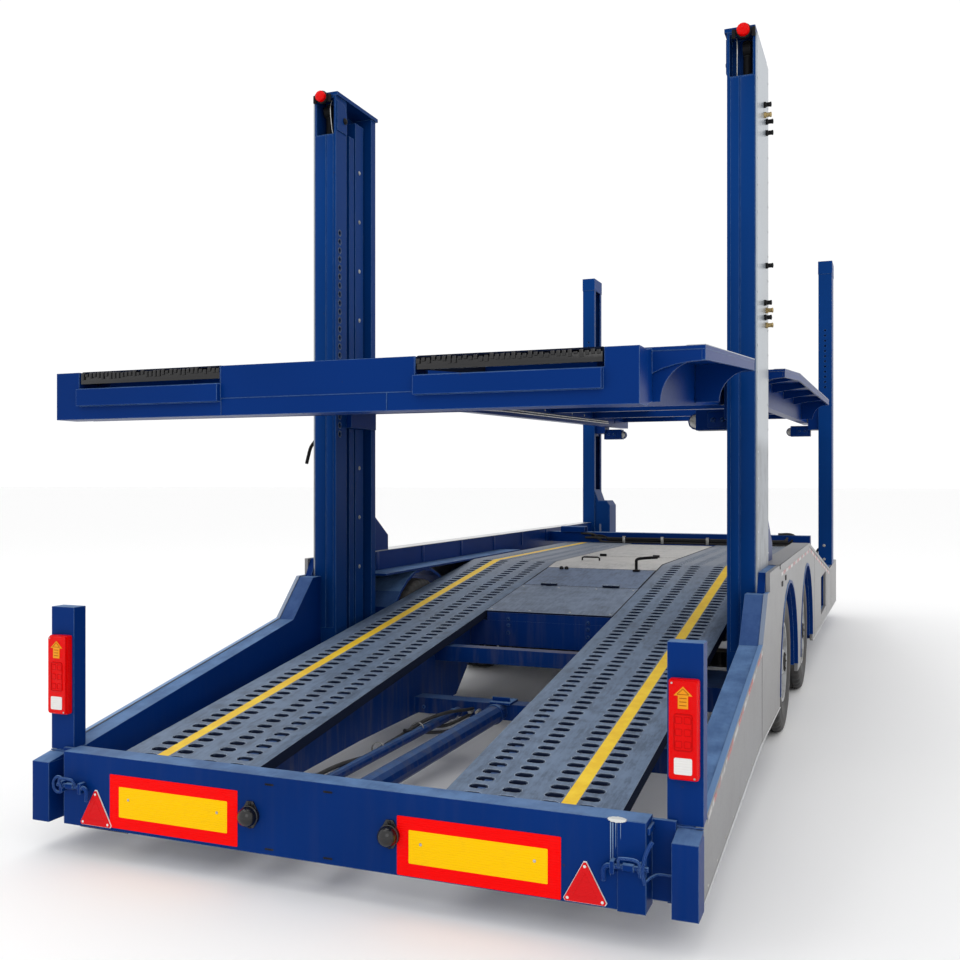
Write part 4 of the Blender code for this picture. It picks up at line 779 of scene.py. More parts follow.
class Shape:
    """Points and faces of one piece, gathered before its mesh is made."""

    def __init__(self) -> None:
        """Start with nothing."""
        self.points: list[Vector] = []
        self.faces: list[tuple[int, ...]] = []

    def add(self, points: Iterable[Sequence[float]], faces: Iterable[Sequence[int]]) -> "Shape":
        """Add points and faces that count from the first of those points."""
        first = len(self.points)
        self.points += [Vector(p) for p in points]
        self.faces += [tuple(first + index for index in face) for face in faces]
        return self

    def box(self, low: Point, high: Point, chamfer: float, turn: Matrix | None = None) -> "Shape":
        """Add a box with cut edges.

        Args:
            low: Its lowest corner.
            high: Its highest corner.
            chamfer: How far the edges are cut back.
            turn: A rotation about its centre.

        Returns:
            The shape itself.
        """
        lows = [min(a, b) for a, b in zip(low, high)]
        highs = [max(a, b) for a, b in zip(low, high)]
        size = tuple(h - l for l, h in zip(lows, highs))
        cage = bmesh.new()
        bmesh.ops.create_cube(cage, size=1.0)
        bmesh.ops.scale(cage, verts=cage.verts, vec=size)
        if chamfer > 0:
            bmesh.ops.bevel(cage, geom=cage.edges[:], offset=min(chamfer, min(size) * 0.45), segments=2, profile=0.5,
                            affect="EDGES")
        centre = Vector([(l + h) / 2 for l, h in zip(lows, highs)])
        place = Matrix.Translation(centre) @ (turn.to_4x4() if turn else Matrix.Identity(4))
        cage.verts.index_update()
        self.add([place @ v.co for v in cage.verts], [[v.index for v in f.verts] for f in cage.faces])
        cage.free()
        return self

    def prism(self, outline: Sequence[Flat], start: float, end: float, to: Placer, lip: float = 0.0) -> "Shape":
        """Add a flat outline with a thickness.

        Args:
            outline: Points of the outline.
            start: Where its thickness starts.
            end: Where its thickness ends.
            to: Turns (across, up, through) into a place.
            lip: How far the end's outline draws in, over the same depth.

        Returns:
            The shape itself.
        """
        count = len(outline)
        layers = [(outline, start), (outline, end)]
        if lip:
            middle = (sum(p[0] for p in outline) / count, sum(p[1] for p in outline) / count)
            small = drawn_in(outline, middle, 1 - lip / max(math.dist(p, middle) for p in outline))
            layers = [(outline, start), (outline, end - math.copysign(lip, end - start)), (small, end)]
        points = [to(a, b, depth) for loop, depth in layers for a, b in loop]
        last = tuple(range((len(layers) - 1) * count, len(layers) * count))
        return self.add(points, [tuple(range(count)), *banded(count, len(layers)), last])

    def tube(self, path: Sequence[Sequence[float]], radius: float, sides: int) -> "Shape":
        """Add a round bar along a path, with closed ends."""
        knots = [Vector(p) for p in path]
        tangent = (knots[1] - knots[0]).normalized()
        across = tangent.orthogonal().normalized()
        points: list[Vector] = []
        for index, knot in enumerate(knots):
            ahead = knots[min(index + 1, len(knots) - 1)] - knots[max(index - 1, 0)]
            ahead.normalize()
            across = (tangent.rotation_difference(ahead) @ across).normalized()
            tangent = ahead
            other = tangent.cross(across)
            for side in range(sides):
                turn = math.tau * side / sides
                points.append(knot + (across * math.cos(turn) + other * math.sin(turn)) * radius)
        last = (len(knots) - 1) * sides
        return self.add(points, [tuple(range(sides)), *banded(sides, len(knots)), tuple(range(last, last + sides))])

    def bent(self, path: Sequence[Point], steps: int, radius: float, sides: int) -> "Shape":
        """Add a round bar along a smooth curve through points, with some steps to each stretch."""
        return self.tube(smooth_path(path, steps), radius, sides)

    def lathe(self, profile: Sequence[Flat], centre: Point, axis: Point, steps: int) -> "Shape":
        """Add a turned form.

        Args:
            profile: Points of (distance along the axis, radius).
            centre: Where the axis starts.
            axis: Which way it points.
            steps: How many sides it has.

        Returns:
            The shape itself.
        """
        along = Vector(axis).normalized()
        across = along.orthogonal().normalized()
        other = along.cross(across)
        points, rings = [], []
        for distance, radius in profile:
            if radius < 1e-6:
                rings.append([len(points)] * steps)
                points.append(Vector(centre) + along * distance)
                continue
            rings.append([len(points) + step for step in range(steps)])
            for step in range(steps):
                turn = math.tau * step / steps
                points.append(Vector(centre) + along * distance
                              + (across * math.cos(turn) + other * math.sin(turn)) * radius)
        faces = []
        for first, second in zip(rings, rings[1:]):
            for step in range(steps):
                following = (step + 1) % steps
                face = tuple(dict.fromkeys((first[step], first[following], second[following], second[step])))
                if len(face) > 2:
                    faces.append(face)
        return self.add(points, faces)

    def can(self, centre: Point, axis: Point, radius: float, start: float, end: float, steps: int) -> "Shape":
        """Add a plain round can between two distances along an axis."""
        return self.lathe([(start, 0.0), (start, radius), (end, radius), (end, 0.0)], centre, axis, steps)

    def rivet(self, centre: Point, axis: Point, radius: float, rim: float, shoulder: float, height: float,
              steps: int) -> "Shape":
        """Add a low round head.

        Args:
            centre: The middle of its foot.
            axis: Which way it stands out.
            radius: Its radius at the foot.
            rim: Its radius at the shoulder.
            shoulder: The shoulder's height.
            height: Its height in the middle.
            steps: How many sides it has.

        Returns:
            The shape itself.
        """
        return self.lathe([(0.0, 0.0), (0.0, radius), (shoulder, rim), (height, 0.0)], centre, axis, steps)

    def bolt(self, centre: Point, axis: Point, across: float, height: float) -> "Shape":
        """Add a hexagon bolt head on its washer."""
        self.lathe([(0.0, 0.0), (0.0, across * 0.85), (0.0015, across * 0.85), (0.002, across * 0.7)], centre, axis, 14)
        return self.lathe([(0.001, across / 1.8), (height * 0.85, across / 1.8), (height, across / 2.2),
                           (height, 0.0)], centre, axis, 6)

    def piece(self, name: str, finish: Finish, body: Body | str = Body.TRAILER, sharp: float = 32.0) -> Object:
        """Make the piece.

        Args:
            name: Its name.
            finish: Its finish.
            body: The body that it rides on.
            sharp: The angle between faces, in degrees, from which an edge stays sharp.

        Returns:
            The object.
        """
        mesh = bpy.data.meshes.new(name)
        mesh.from_pydata(self.points, [], self.faces)
        cage = bmesh.new()
        cage.from_mesh(mesh)
        bmesh.ops.remove_doubles(cage, verts=cage.verts, dist=0.00002)
        bmesh.ops.recalc_face_normals(cage, faces=cage.faces)
        cage.to_mesh(mesh)
        cage.free()
        mesh.polygons.foreach_set("use_smooth", [True] * len(mesh.polygons))
        mesh.set_sharp_from_angle(angle=math.radians(sharp))
        mesh.materials.append(finish.material())
        made = placed(name, mesh)
        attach(made, body.value if isinstance(body, Body) else body)
        LOG.info("%s: %d faces", name, len(mesh.polygons))
        return made


# Coats of the frame's own nodes


COATS: tuple[tuple[str, Finish], ...] = (
    ("upper_frame", BLUE_DEEP), ("upper_wing", BLUE_WING), ("upper_track", UPPER_TRACK),
    ("lower_track", TRACK), ("rear_cover", COVER), ("front_cover", FRONT_COVER), ("hatch_lid", LID),
    ("side_panel", PANEL), ("post_cladding", CLADDING), ("tyre", TYRE), ("wheel_arch", BLUE), ("wheel", RIM),
    ("axle", AXLE), ("tail_lamp", RED_LENS), ("post_lamp", RED_LENS), ("rubber_buffer", RUBBER),
    ("main_frame", UNDERSIDE), ("rear_post", BLUE_POST), ("front_post", BLUE_POST), ("locker_box", BLUE_DEEP),
    ("", BLUE),
)


def coat_nodes() -> None:
    """Give every node of the frame its finish."""
    for name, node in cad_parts.items():
        finish = next(coat for prefix, coat in COATS if name.startswith(prefix))
        node.data.materials.clear()
        node.data.materials.append(finish.material())


# Sub-assemblies


@dataclass
class PerforatedTrack:
    """A track plate with folded edges and four columns of slots."""

    side: Side
    node: str
    body: Body
    finish: Finish
    line: tuple[Flat, ...]
    start: float
    end: float
    columns: tuple[float, ...] = (0.477, 0.600, 0.752, 0.876)
    slot_half: float = 0.0350
    slot_radius: float = 0.0172
    margin: float = 0.0075
    pitch: float = 0.0660
    plate: float = 0.006
    collar: float = 0.019
    collar_wall: float = 0.0018
    fold: float = 0.045
    bend: float = 0.006
    lip: float = 0.0024
    steps: int = 4

    def rows(self) -> list[float]:
        """Stations of the lines between rows of slots, with one at each bend."""
        knots = [self.start, *[s for s, z in self.line if self.start < s < self.end], self.end]
        lines = [self.start]
        for a, b in zip(knots, knots[1:]):
            count = max(1, round((b - a) / self.pitch))
            lines += [a + (b - a) * (step + 1) / count for step in range(count)]
        return lines

    def at(self, x: float, station: float, depth: float) -> Point:
        """The place at an X, a station and a depth below the deck's line."""
        return (self.side.sign * x, LAY.y(station), on_line(self.line, station) - depth)

    def loop(self, centre: float, station: float, grow: float) -> list[Flat]:
        """The outline of one slot, round from its rear right corner."""
        reach = self.slot_half - self.slot_radius
        points = []
        for sign, first in ((1, -90.0), (-1, 90.0)):
            angles = [math.radians(first + 180.0 * step / self.steps) for step in range(self.steps + 1)]
            points += arc(centre + sign * reach, station, self.slot_radius + grow, angles)
        return points

    def slot(self, shape: Shape, low_x: float, high_x: float, rear: float, front: float) -> None:
        """Add one cell of the plate with its slot, whose edge is pressed down into a collar."""
        corners = [(high_x, rear), (high_x, front), (low_x, front), (low_x, rear)]
        points = [self.at(x, s, depth) for depth in (0.0, self.plate) for x, s in corners]
        loops = ((self.lip, 0.0), (0.0, self.lip), (0.0, self.collar), (self.collar_wall, self.collar),
                 (self.collar_wall, self.plate))
        for grow, depth in loops:
            points += [self.at(x, s, depth) for x, s in self.loop((low_x + high_x) / 2, (rear + front) / 2, grow)]
        count = 2 * (self.steps + 1)
        half = self.steps // 2
        faces: list[tuple[int, ...]] = []
        for corner, ring in ((0, 8), (4, 8 + 4 * count)):
            faces.append((corner + 3, corner, ring, ring + count - 1))
            faces.append((corner + 1, corner + 2, ring + self.steps + 1, ring + self.steps))
            for first, (rear_corner, front_corner) in ((0, (0, 1)), (self.steps + 1, (2, 3))):
                for step in range(self.steps):
                    near = corner + (rear_corner if step < half else front_corner)
                    faces.append((near, ring + first + step + 1, ring + first + step))
                faces.append((corner + rear_corner, corner + front_corner, ring + first + half))
        shape.add(points, faces + banded(count, len(loops), 8))

    def quad(self, shape: Shape, near: Flat, far: Flat, rear: float, front: float) -> None:
        """Add a face between two points of (X, depth), from a rear station to a front one."""
        corners = ((near, rear), (far, rear), (far, front), (near, front))
        shape.add([self.at(x, station, depth) for (x, depth), station in corners], [(0, 1, 2, 3)])

    def build(self) -> None:
        """Make the track."""
        shape = Shape()
        inner, under_x, bend = LAY.track_inner, LAY.track_inner + self.plate, self.bend
        top = [(inner, self.fold), (inner, bend), (inner + bend * 0.3, bend * 0.3), (inner + bend, 0.0)]
        under = [(under_x, self.fold), (under_x, bend + 0.003), (under_x + 0.0005, bend + 0.001),
                 (under_x + 0.001, self.plate)]
        cell = self.slot_half + self.margin
        slots = set()
        for column in self.columns:
            slots.add(len(top))
            top += [(column - cell, 0.0), (column + cell, 0.0)]
            under += [(column - cell, self.plate), (column + cell, self.plate)]
        mirror = inner + LAY.track_outer
        top += [(mirror - x, z) for x, z in top[3::-1]]
        under += [(mirror - x, z) for x, z in under[3::-1]]
        lines = self.rows()
        for rear, front in zip(lines, lines[1:]):
            for index in range(len(top) - 1):
                if index in slots:
                    self.slot(shape, top[index][0], top[index + 1][0], rear, front)
                    continue
                for line in (top, under):
                    self.quad(shape, line[index], line[index + 1], rear, front)
            for end in (0, -1):
                self.quad(shape, top[end], under[end], rear, front)
        for station in (lines[0], lines[-1]):
            for index in range(len(top) - 1):
                loop = (top[index], top[index + 1], under[index + 1], under[index])
                shape.add([self.at(x, station, depth) for x, depth in loop], [(0, 1, 2, 3)])
        made = shape.piece(f"perforated_{self.node}", self.finish, self.body, 40.0)
        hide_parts(self.node)


@dataclass
class OnWheel:
    """What one wheel carries, placed by its tyre's box."""

    position: str
    side: Side

    def __post_init__(self) -> None:
        """Find the tyre and the body that turns it."""
        self.tag = f"{self.position}_{self.side.word}"
        self.body = f"wheel_{self.tag}_body"
        low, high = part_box(f"tyre_{self.tag}")
        self.centre, self.reach = (low + high) / 2, (high - low) / 2

    def spot(self, out: float, ahead: float, above: float) -> Point:
        """A place outwards, ahead of and above the wheel's middle."""
        return (self.centre.x + self.side.sign * out, self.centre.y + ahead, self.centre.z + above)


@dataclass
class Tyre(OnWheel):
    """A ribbed tyre on one stub, with grooves, shoulder notches and a moulded sidewall."""

    steps: int = 168
    depth: float = 0.011
    notch: float = 0.007
    grooves: tuple[float, ...] = (-0.058, -0.020, 0.020, 0.058)

    def profile(self) -> list[tuple[float, float, bool]]:
        """Points across the tyre: place along the axle, radius and whether the notches reach it."""
        half, radius = self.reach.x, self.reach.z
        wall = ((0.020, 0.2249), (0.012, 0.240), (0.006, 0.262), (0.003, 0.268), (0.0015, 0.300), (0.0, 0.312),
                (0.0, 0.322), (0.003, 0.328), (0.004, 0.350))
        shoulder = ((0.006, 0.362), (0.011, radius - 0.016), (0.021, radius - 0.005), (0.034, radius - 0.001))
        edge = [(inset - half, r, part is shoulder) for part in (wall, shoulder) for inset, r in part]
        crown, bottom = radius - 0.0006, radius - self.depth
        tread = []
        for groove in self.grooves:
            tread += [(groove - 0.0055, crown, False), (groove - 0.0035, bottom, False),
                      (groove + 0.0035, bottom, False), (groove + 0.0055, crown, False)]
        tread.insert(len(tread) // 2, (0.0, radius, False))
        return edge + tread + [(-x, r, notched) for x, r, notched in reversed(edge)]

    def build(self) -> None:
        """Make the tyre."""
        profile = self.profile()
        points = []
        for step in range(self.steps):
            turn = math.tau * step / self.steps
            cut = self.notch if step % 4 == 0 else 0.0
            for x, radius, notched in profile:
                reach = radius - (cut if notched else 0.0)
                points.append((self.centre.x + x, self.centre.y + reach * math.cos(turn),
                               self.centre.z + reach * math.sin(turn)))
        faces = [[index % len(points) for index in face] for face in banded(len(profile), self.steps + 1)]
        made = Shape().add(points, faces).piece(f"ribbed_tyre_{self.tag}", TYRE, self.body, 34.0)
        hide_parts(f"tyre_{self.tag}")


@dataclass
class WheelFittings(OnWheel):
    """Nuts, hub cap and valve of one wheel."""

    nuts: int = 10
    ring: float = 0.1285
    cap_bolts: int = 5
    cap_ring: float = 0.040

    def build(self) -> None:
        """Make the fittings."""
        out = (self.side.sign, 0, 0)
        nuts, cap = Shape(), Shape()
        for index in range(self.nuts):
            turn = math.tau * (index + 0.5) / self.nuts
            spot = self.spot(0.0415, self.ring * math.cos(turn), self.ring * math.sin(turn))
            nuts.bolt(spot, out, 0.026, 0.020)
            nuts.lathe([(0.016, 0.0085), (0.030, 0.0085), (0.032, 0.007), (0.032, 0.0)], spot, out, 8)
        cap.lathe([(0.1122, 0.0), (0.1122, 0.052), (0.116, 0.055), (0.1175, 0.050), (0.1175, 0.020),
                   (0.1195, 0.016), (0.1195, 0.0)], tuple(self.centre), out, 28)
        for index in range(self.cap_bolts):
            turn = math.tau * index / self.cap_bolts
            spot = self.spot(0.1165, self.cap_ring * math.cos(turn), self.cap_ring * math.sin(turn))
            cap.bolt(spot, out, 0.010, 0.005)
        stem = Shape().tube([self.spot(0.03, 0.186, 0.02), self.spot(0.055, 0.180, 0.02),
                             self.spot(0.072, 0.170, 0.02)], 0.004, 8)
        nuts.piece(f"wheel_nuts_{self.tag}", ZINC, self.body)
        cap.piece(f"hub_cap_{self.tag}", AXLE, self.body)
        stem.piece(f"tyre_valve_{self.tag}", BRASS, self.body)


@dataclass
class RearFace:
    """What the rear crossmember carries: plates, triangles, buffers' mounts, latches and small slots."""

    plates: tuple[tuple[str, float, float, float, float], ...] = (
        ("left", -0.899, -0.336, 0.127, 0.326), ("right", 0.288, 0.852, 0.118, 0.314))
    triangles: tuple[tuple[str, float, float, float, float, float], ...] = (
        ("left", -1.041, -0.885, -0.963, 0.124, 0.268), ("right", 0.855, 1.004, 0.9295, 0.120, 0.258))
    border: float = 0.043
    plate_thick: float = 0.0016
    backing: float = 0.004
    triangle_thick: float = 0.0075
    buffer_x: float = 0.272
    buffer_z: float = 0.246

    def marker_plates(self) -> None:
        """Make the two marker plates: a red sheet, its yellow middle and rivets."""
        to = in_rear(FACE - GAP)
        for name, left, right, low, high in self.plates:
            sheet = rounded_box(left, right, low, high, 0.004)
            Shape().prism(sheet, 0.0, self.plate_thick, to, 0.0004).piece(f"marker_plate_{name}", RED_SHEET)
            middle = rounded_box(left + self.border, right - self.border, low + self.border, high - self.border, 0.003)
            Shape().prism(middle, self.plate_thick, 0.0024, to, 0.0003).piece(f"marker_centre_{name}", YELLOW_SHEET)
            rivets = Shape()
            for x in (left + 0.086, right - 0.086):
                rivets.rivet((x, FACE - 0.0026, (low + high) / 2 + 0.012), BACK, 0.0055, 0.005, 0.0015, 0.0028, 12)
            rivets.piece(f"marker_rivets_{name}", ZINC)

    def warning_triangles(self) -> None:
        """Make the two red triangles, each on a white backing with a raised inner border."""
        to, thick = in_rear(FACE - GAP), self.triangle_thick
        for name, left, right, apex, low, high in self.triangles:
            middle = ((left + right + apex) / 3, (low + low + high) / 3)
            corners = [(left, low), (right, low), (apex, high)]
            face = drawn_in(corners, middle, 0.955)
            Shape().prism(blunted(corners, 0.010), 0.0, self.backing, to, 0.001).piece(f"triangle_back_{name}", WHITE)
            Shape().prism(blunted(face, 0.009), self.backing, thick, to, 0.0012).piece(f"triangle_{name}", RED_PRISM)
            raised, rivets = Shape(), Shape()
            for a, b in closed(drawn_in(corners, middle, 0.52)):
                raised.tube([to(*a, thick), to(*b, thick)], 0.0014, 6)
            raised.piece(f"triangle_ridge_{name}", RED_PRISM)
            for spot in drawn_in(face, middle, 0.78):
                rivets.rivet(to(*spot, thick), BACK, 0.0048, 0.0042, 0.0012, 0.002, 12)
            rivets.piece(f"triangle_rivets_{name}", WHITE)

    def buffers(self) -> None:
        """Make each domed rubber buffer, its mounting plate with a lug above and below, and its bolts."""
        z = self.buffer_z
        for side in Side:
            x = side.sign * self.buffer_x - 0.010
            mount, bolts, dome = Shape(), Shape(), Shape()
            outline = [(x + 0.013, z + 0.050), (x - 0.013, z + 0.050), *arc(x, z, 0.037, turns(140, 221, 10)),
                       (x - 0.013, z - 0.044), (x + 0.013, z - 0.044), *arc(x, z, 0.037, turns(-40, 41, 10))]
            mount.prism(outline, 0.0, 0.006, in_rear(FACE - GAP), 0.001)
            mount.lathe([(0.004, 0.037), (0.014, 0.037), (0.017, 0.034), (0.017, 0.030)], (x, FACE, z), BACK, 32)
            mount.piece(f"buffer_mount_{side.word}", GLOSS_RUBBER)
            for height in (z + 0.043, z - 0.039):
                bolts.bolt((x, FACE - 0.0062, height), BACK, 0.008, 0.004)
            bolts.piece(f"buffer_bolts_{side.word}", BLACK)
            nose = [(0.022 + 0.033 * math.sin(t), 0.0345 * math.cos(t)) for t in turns(0, 90, 9)]
            dome.lathe([(0.0006, 0.0), (0.0006, 0.034), *nose, (0.0551, 0.0)], (x, FACE, z), BACK, 36)
            made = dome.piece(f"buffer_dome_{side.word}", GLOSS_RUBBER)
            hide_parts(f"rubber_buffer_{side.word}")

    def latch(self, side: Side) -> None:
        """Make the spring latch at one end of the crossmember, with its two bent handles."""
        sign = side.sign
        z = 0.250 if side is Side.RIGHT else 0.262
        shape = Shape()
        for x in (sign * 1.020, sign * 1.108):
            shape.box((x - 0.007, FACE - 0.032, z - 0.018), (x + 0.007, FACE - GAP, z + 0.022), 0.002)
        pin = ((0.992, 0.020, -0.044), (0.992, 0.020, -0.012), (1.002, 0.020, 0.002), (1.020, 0.020, 0.004),
               (1.130, 0.020, 0.006))
        handle = ((1.040, 0.024, 0.006), (1.042, 0.038, 0.030), (1.052, 0.042, 0.037), (1.092, 0.042, 0.037),
                  (1.106, 0.040, 0.026), (1.102, 0.026, -0.004))
        grip = ((1.140, 0.012, 0.088), (1.128, 0.024, 0.066), (1.117, 0.032, 0.028), (1.114, 0.032, -0.006),
                (1.120, 0.026, -0.036))
        link = ((1.118, 0.024, -0.034), (1.132, -0.010, -0.026), (1.150, -0.036, -0.024), (1.190, -0.040, -0.025))
        shape.bent(beside(pin, sign, FACE, z), 5, 0.008, 10)
        shape.can((sign * 1.052, FACE - 0.020, z + 0.005), (sign, 0, 0), 0.0125, 0.0, 0.034, 14)
        shape.bent(beside(handle, sign, FACE, z), 5, 0.0050, 8)
        if side is Side.RIGHT:
            shape.bent(beside(grip, sign, FACE, z), 6, 0.0065, 8)
            shape.bent(beside(link, sign, FACE, z), 4, 0.0045, 8)
        else:
            ring = [(-1.150 + 0.026 * math.cos(t), FACE + 0.006, z - 0.004 + 0.030 * math.sin(t))
                    for t in turns(0, 361, 20)]
            shape.tube(ring, 0.006, 8)
            shape.tube([(-1.134, FACE + 0.004, z + 0.006), (-1.120, FACE - 0.020, z + 0.006)], 0.006, 8)
        shape.piece(f"corner_latch_{side.word}", BLUE)

    def end_plates(self) -> None:
        """Make the doubled plate at the crossmember's right end, the black slots and the rusted step plate."""
        plate, slots = Shape(), Shape()
        plate.box((1.030, FACE - 0.0034, 0.1112), (1.1180, FACE - GAP, 0.3893), 0.0008)
        plate.box((1.1195, FACE + 0.004, 0.352), (1.1290, FACE + 0.076, 0.372), 0.002)
        plate.piece("crossmember_end_plate", BLUE)
        for x in (-0.206, 0.027):
            for z in (0.135, 0.361):
                slot = rounded_box(x - 0.018, x + 0.018, z - 0.0035, z + 0.0035, 0.003)
                slots.prism(slot, 0.0, 0.0006, in_rear(FACE - 0.0003))
        slots.piece("crossmember_slots", BLACK)
        step_plate = Shape().box((-1.045, FACE + 0.004, 0.1102), (-0.82, FACE + 0.070, 0.1148), 0.002)
        step_plate.piece("step_plate_rust", RUSTED)

    def weld_beads(self) -> None:
        """Make the weld beads round the lamp posts' feet and at the corner blocks, and the blocks' top plates."""
        beads, tops = Shape(), Shape()
        low, high = LAY.rail_z(0.099) + 0.0016, LAY.rail_z(0.168) + 0.0016
        foot = [(1.2735, LAY.y(0.0988), low), (1.1600, LAY.y(0.0988), low), (1.1600, LAY.y(0.168), high),
                (1.2735, LAY.y(0.168), high)]
        outline = [(0.0012, 0.3250), (0.0012, 0.3372), (0.0024, 0.3384), (0.0945, 0.3562), (0.0945, 0.3250)]
        for sign in SIGNS:
            for a, b in zip(foot, foot[1:]):
                beads.tube(wobble([(sign * x, y, z) for x, y, z in (a, b)], 0.0011), 0.0034, 6)
            x = sign * 1.1956
            beads.tube(wobble([(x, LAY.y(0.0968), 0.140), (x, LAY.y(0.0968), 0.325)], 0.0010), 0.003, 6)
            tops.prism(outline, 1.1947, 1.2742, in_side(0.0, sign))
        beads.piece("rear_weld_beads", BLUE)
        tops.piece("corner_top_plates", BLUE)

    def splash(self) -> None:
        """Make the dried white splash on the crossmember's right end, with its runs."""
        rng = random.Random(7)
        steps = 24
        flat, hang = [], []
        for step in range(steps + 1):
            turn = math.pi * step / steps
            grow = 1.0 + rng.uniform(-0.10, 0.10)
            x = 1.030 + 0.030 * grow * math.cos(turn)
            flat.append((x, FACE - 0.0036 + 0.026 * grow * math.sin(turn)))
            hang.append((x, 0.3916 - 0.011 * grow * math.sin(turn)))
        drips = Shape()
        for x, low, width in ((1.010, 0.215, 0.0009), (1.017, 0.235, 0.0008), (1.026, 0.300, 0.0006),
                              (1.041, 0.330, 0.0007)):
            run = [(x - width * 2, 0.380), (x + width * 2, 0.380), (x + width, low + 0.04), (x + width, low + 0.012),
                   (x, low), (x - width, low + 0.012), (x - width, low + 0.05)]
            drips.prism(run, 0.0, 0.0006, in_rear(FACE - 0.0037), 0.0002)
        drips.piece("splash_drips", DRIPS)
        shape = Shape().prism(flat, 0.3903, 0.3914, lambda across, along, up: (across, along, up), 0.0005)
        shape.prism(hang, 0.0, 0.0009, in_rear(FACE - 0.0037), 0.0003).piece("white_splash", SPLASH)

    def build(self) -> None:
        """Make everything on the rear face."""
        self.marker_plates()
        self.warning_triangles()
        self.buffers()
        for side in Side:
            self.latch(side)
        self.end_plates()
        self.weld_beads()
        self.splash()


@dataclass
class TailLamp:
    """A tall tail lamp: housing, red lens, amber arrow and a plain white square."""

    side: Side
    inset: float = 0.005
    rim: float = 0.003
    corner: float = 0.008

    def build(self) -> None:
        """Make the lamp."""
        word = self.side.word
        low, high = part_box(f"tail_lamp_{word}")
        low.x, high.x = low.x + self.inset, high.x - self.inset
        to, rim = in_rear(low.y), self.rim
        middle = (low.x + high.x) / 2
        width, height = high.x - low.x, high.z - low.z
        housing = rounded_box(low.x, high.x, low.z, high.z, self.corner)
        Shape().prism(housing, -0.0345, -0.010, to, 0.002).piece(f"lamp_housing_{word}", RED_LENS)
        lens = rounded_box(low.x + rim, high.x - rim, low.z + rim, high.z - rim, self.corner, 4)
        made = Shape().prism(lens, -0.012, 0.0, to, 0.003).piece(f"lamp_lens_{word}", RED_LENS)
        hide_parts(f"tail_lamp_{word}")
        mouldings = Shape()
        left, right = middle - width * 0.30, middle + width * 0.30
        bottom, top = low.z + height * 0.30, low.z + height * 0.66
        loop = [to(x, z, 0.0004) for x, z in rounded_box(left, right, bottom, top, self.corner)]
        mouldings.tube([*loop, loop[0]], 0.0022, 6)
        for row in range(3):
            for column in range(2):
                x = left + (right - left) * (column + 0.5) / 2
                z = bottom + (top - bottom) * (row + 0.5) / 3
                loop = [to(u, v, 0.0) for u, v in rounded_box(x - 0.010, x + 0.010, z - 0.010, z + 0.010, 0.003)]
                mouldings.tube([*loop, loop[0]], 0.0012, 5)
        mouldings.piece(f"lamp_mouldings_{word}", DARK_LENS)
        base, tip = low.z + height * 0.715, low.z + height * 0.935
        wide, shaft, neck = width * 0.31, width * 0.17, tip - 0.028
        arrow = [(middle - shaft, base), (middle + shaft, base), (middle + shaft, neck), (middle + wide, neck),
                 (middle, tip), (middle - wide, neck), (middle - shaft, neck)]
        Shape().prism(arrow, -0.001, 0.0020, to, 0.0006).piece(f"lamp_arrow_{word}", AMBER_LENS)
        ribs = Shape()
        for index in range(3):
            z = base + 0.009 + index * 0.011
            ribs.box((middle - shaft * 0.7, low.y - 0.0030, z), (middle + shaft * 0.7, low.y - 0.0018, z + 0.0022),
                     0.0004)
        peak = [(middle - wide * 0.62, neck + 0.004), (middle + wide * 0.62, neck + 0.004), (middle, tip - 0.007)]
        for a, b in closed(peak):
            ribs.tube([to(*a, 0.0020), to(*b, 0.0020)], 0.0011, 5)
        ribs.piece(f"lamp_arrow_ribs_{word}", DARK_AMBER)
        square = rounded_box(left, right, low.z + height * 0.064, low.z + height * 0.228, 0.005)
        Shape().prism(square, -0.001, 0.0016, to, 0.0005).piece(f"lamp_white_{word}", WHITE)
        screws = Shape()
        for x, z in ((low.x + 0.011, high.z - 0.011), (high.x - 0.011, low.z + 0.010)):
            screws.rivet((x, low.y - 0.0002, z), BACK, 0.0034, 0.0030, 0.0012, 0.0016, 10)
        screws.piece(f"lamp_screws_{word}", ZINC)


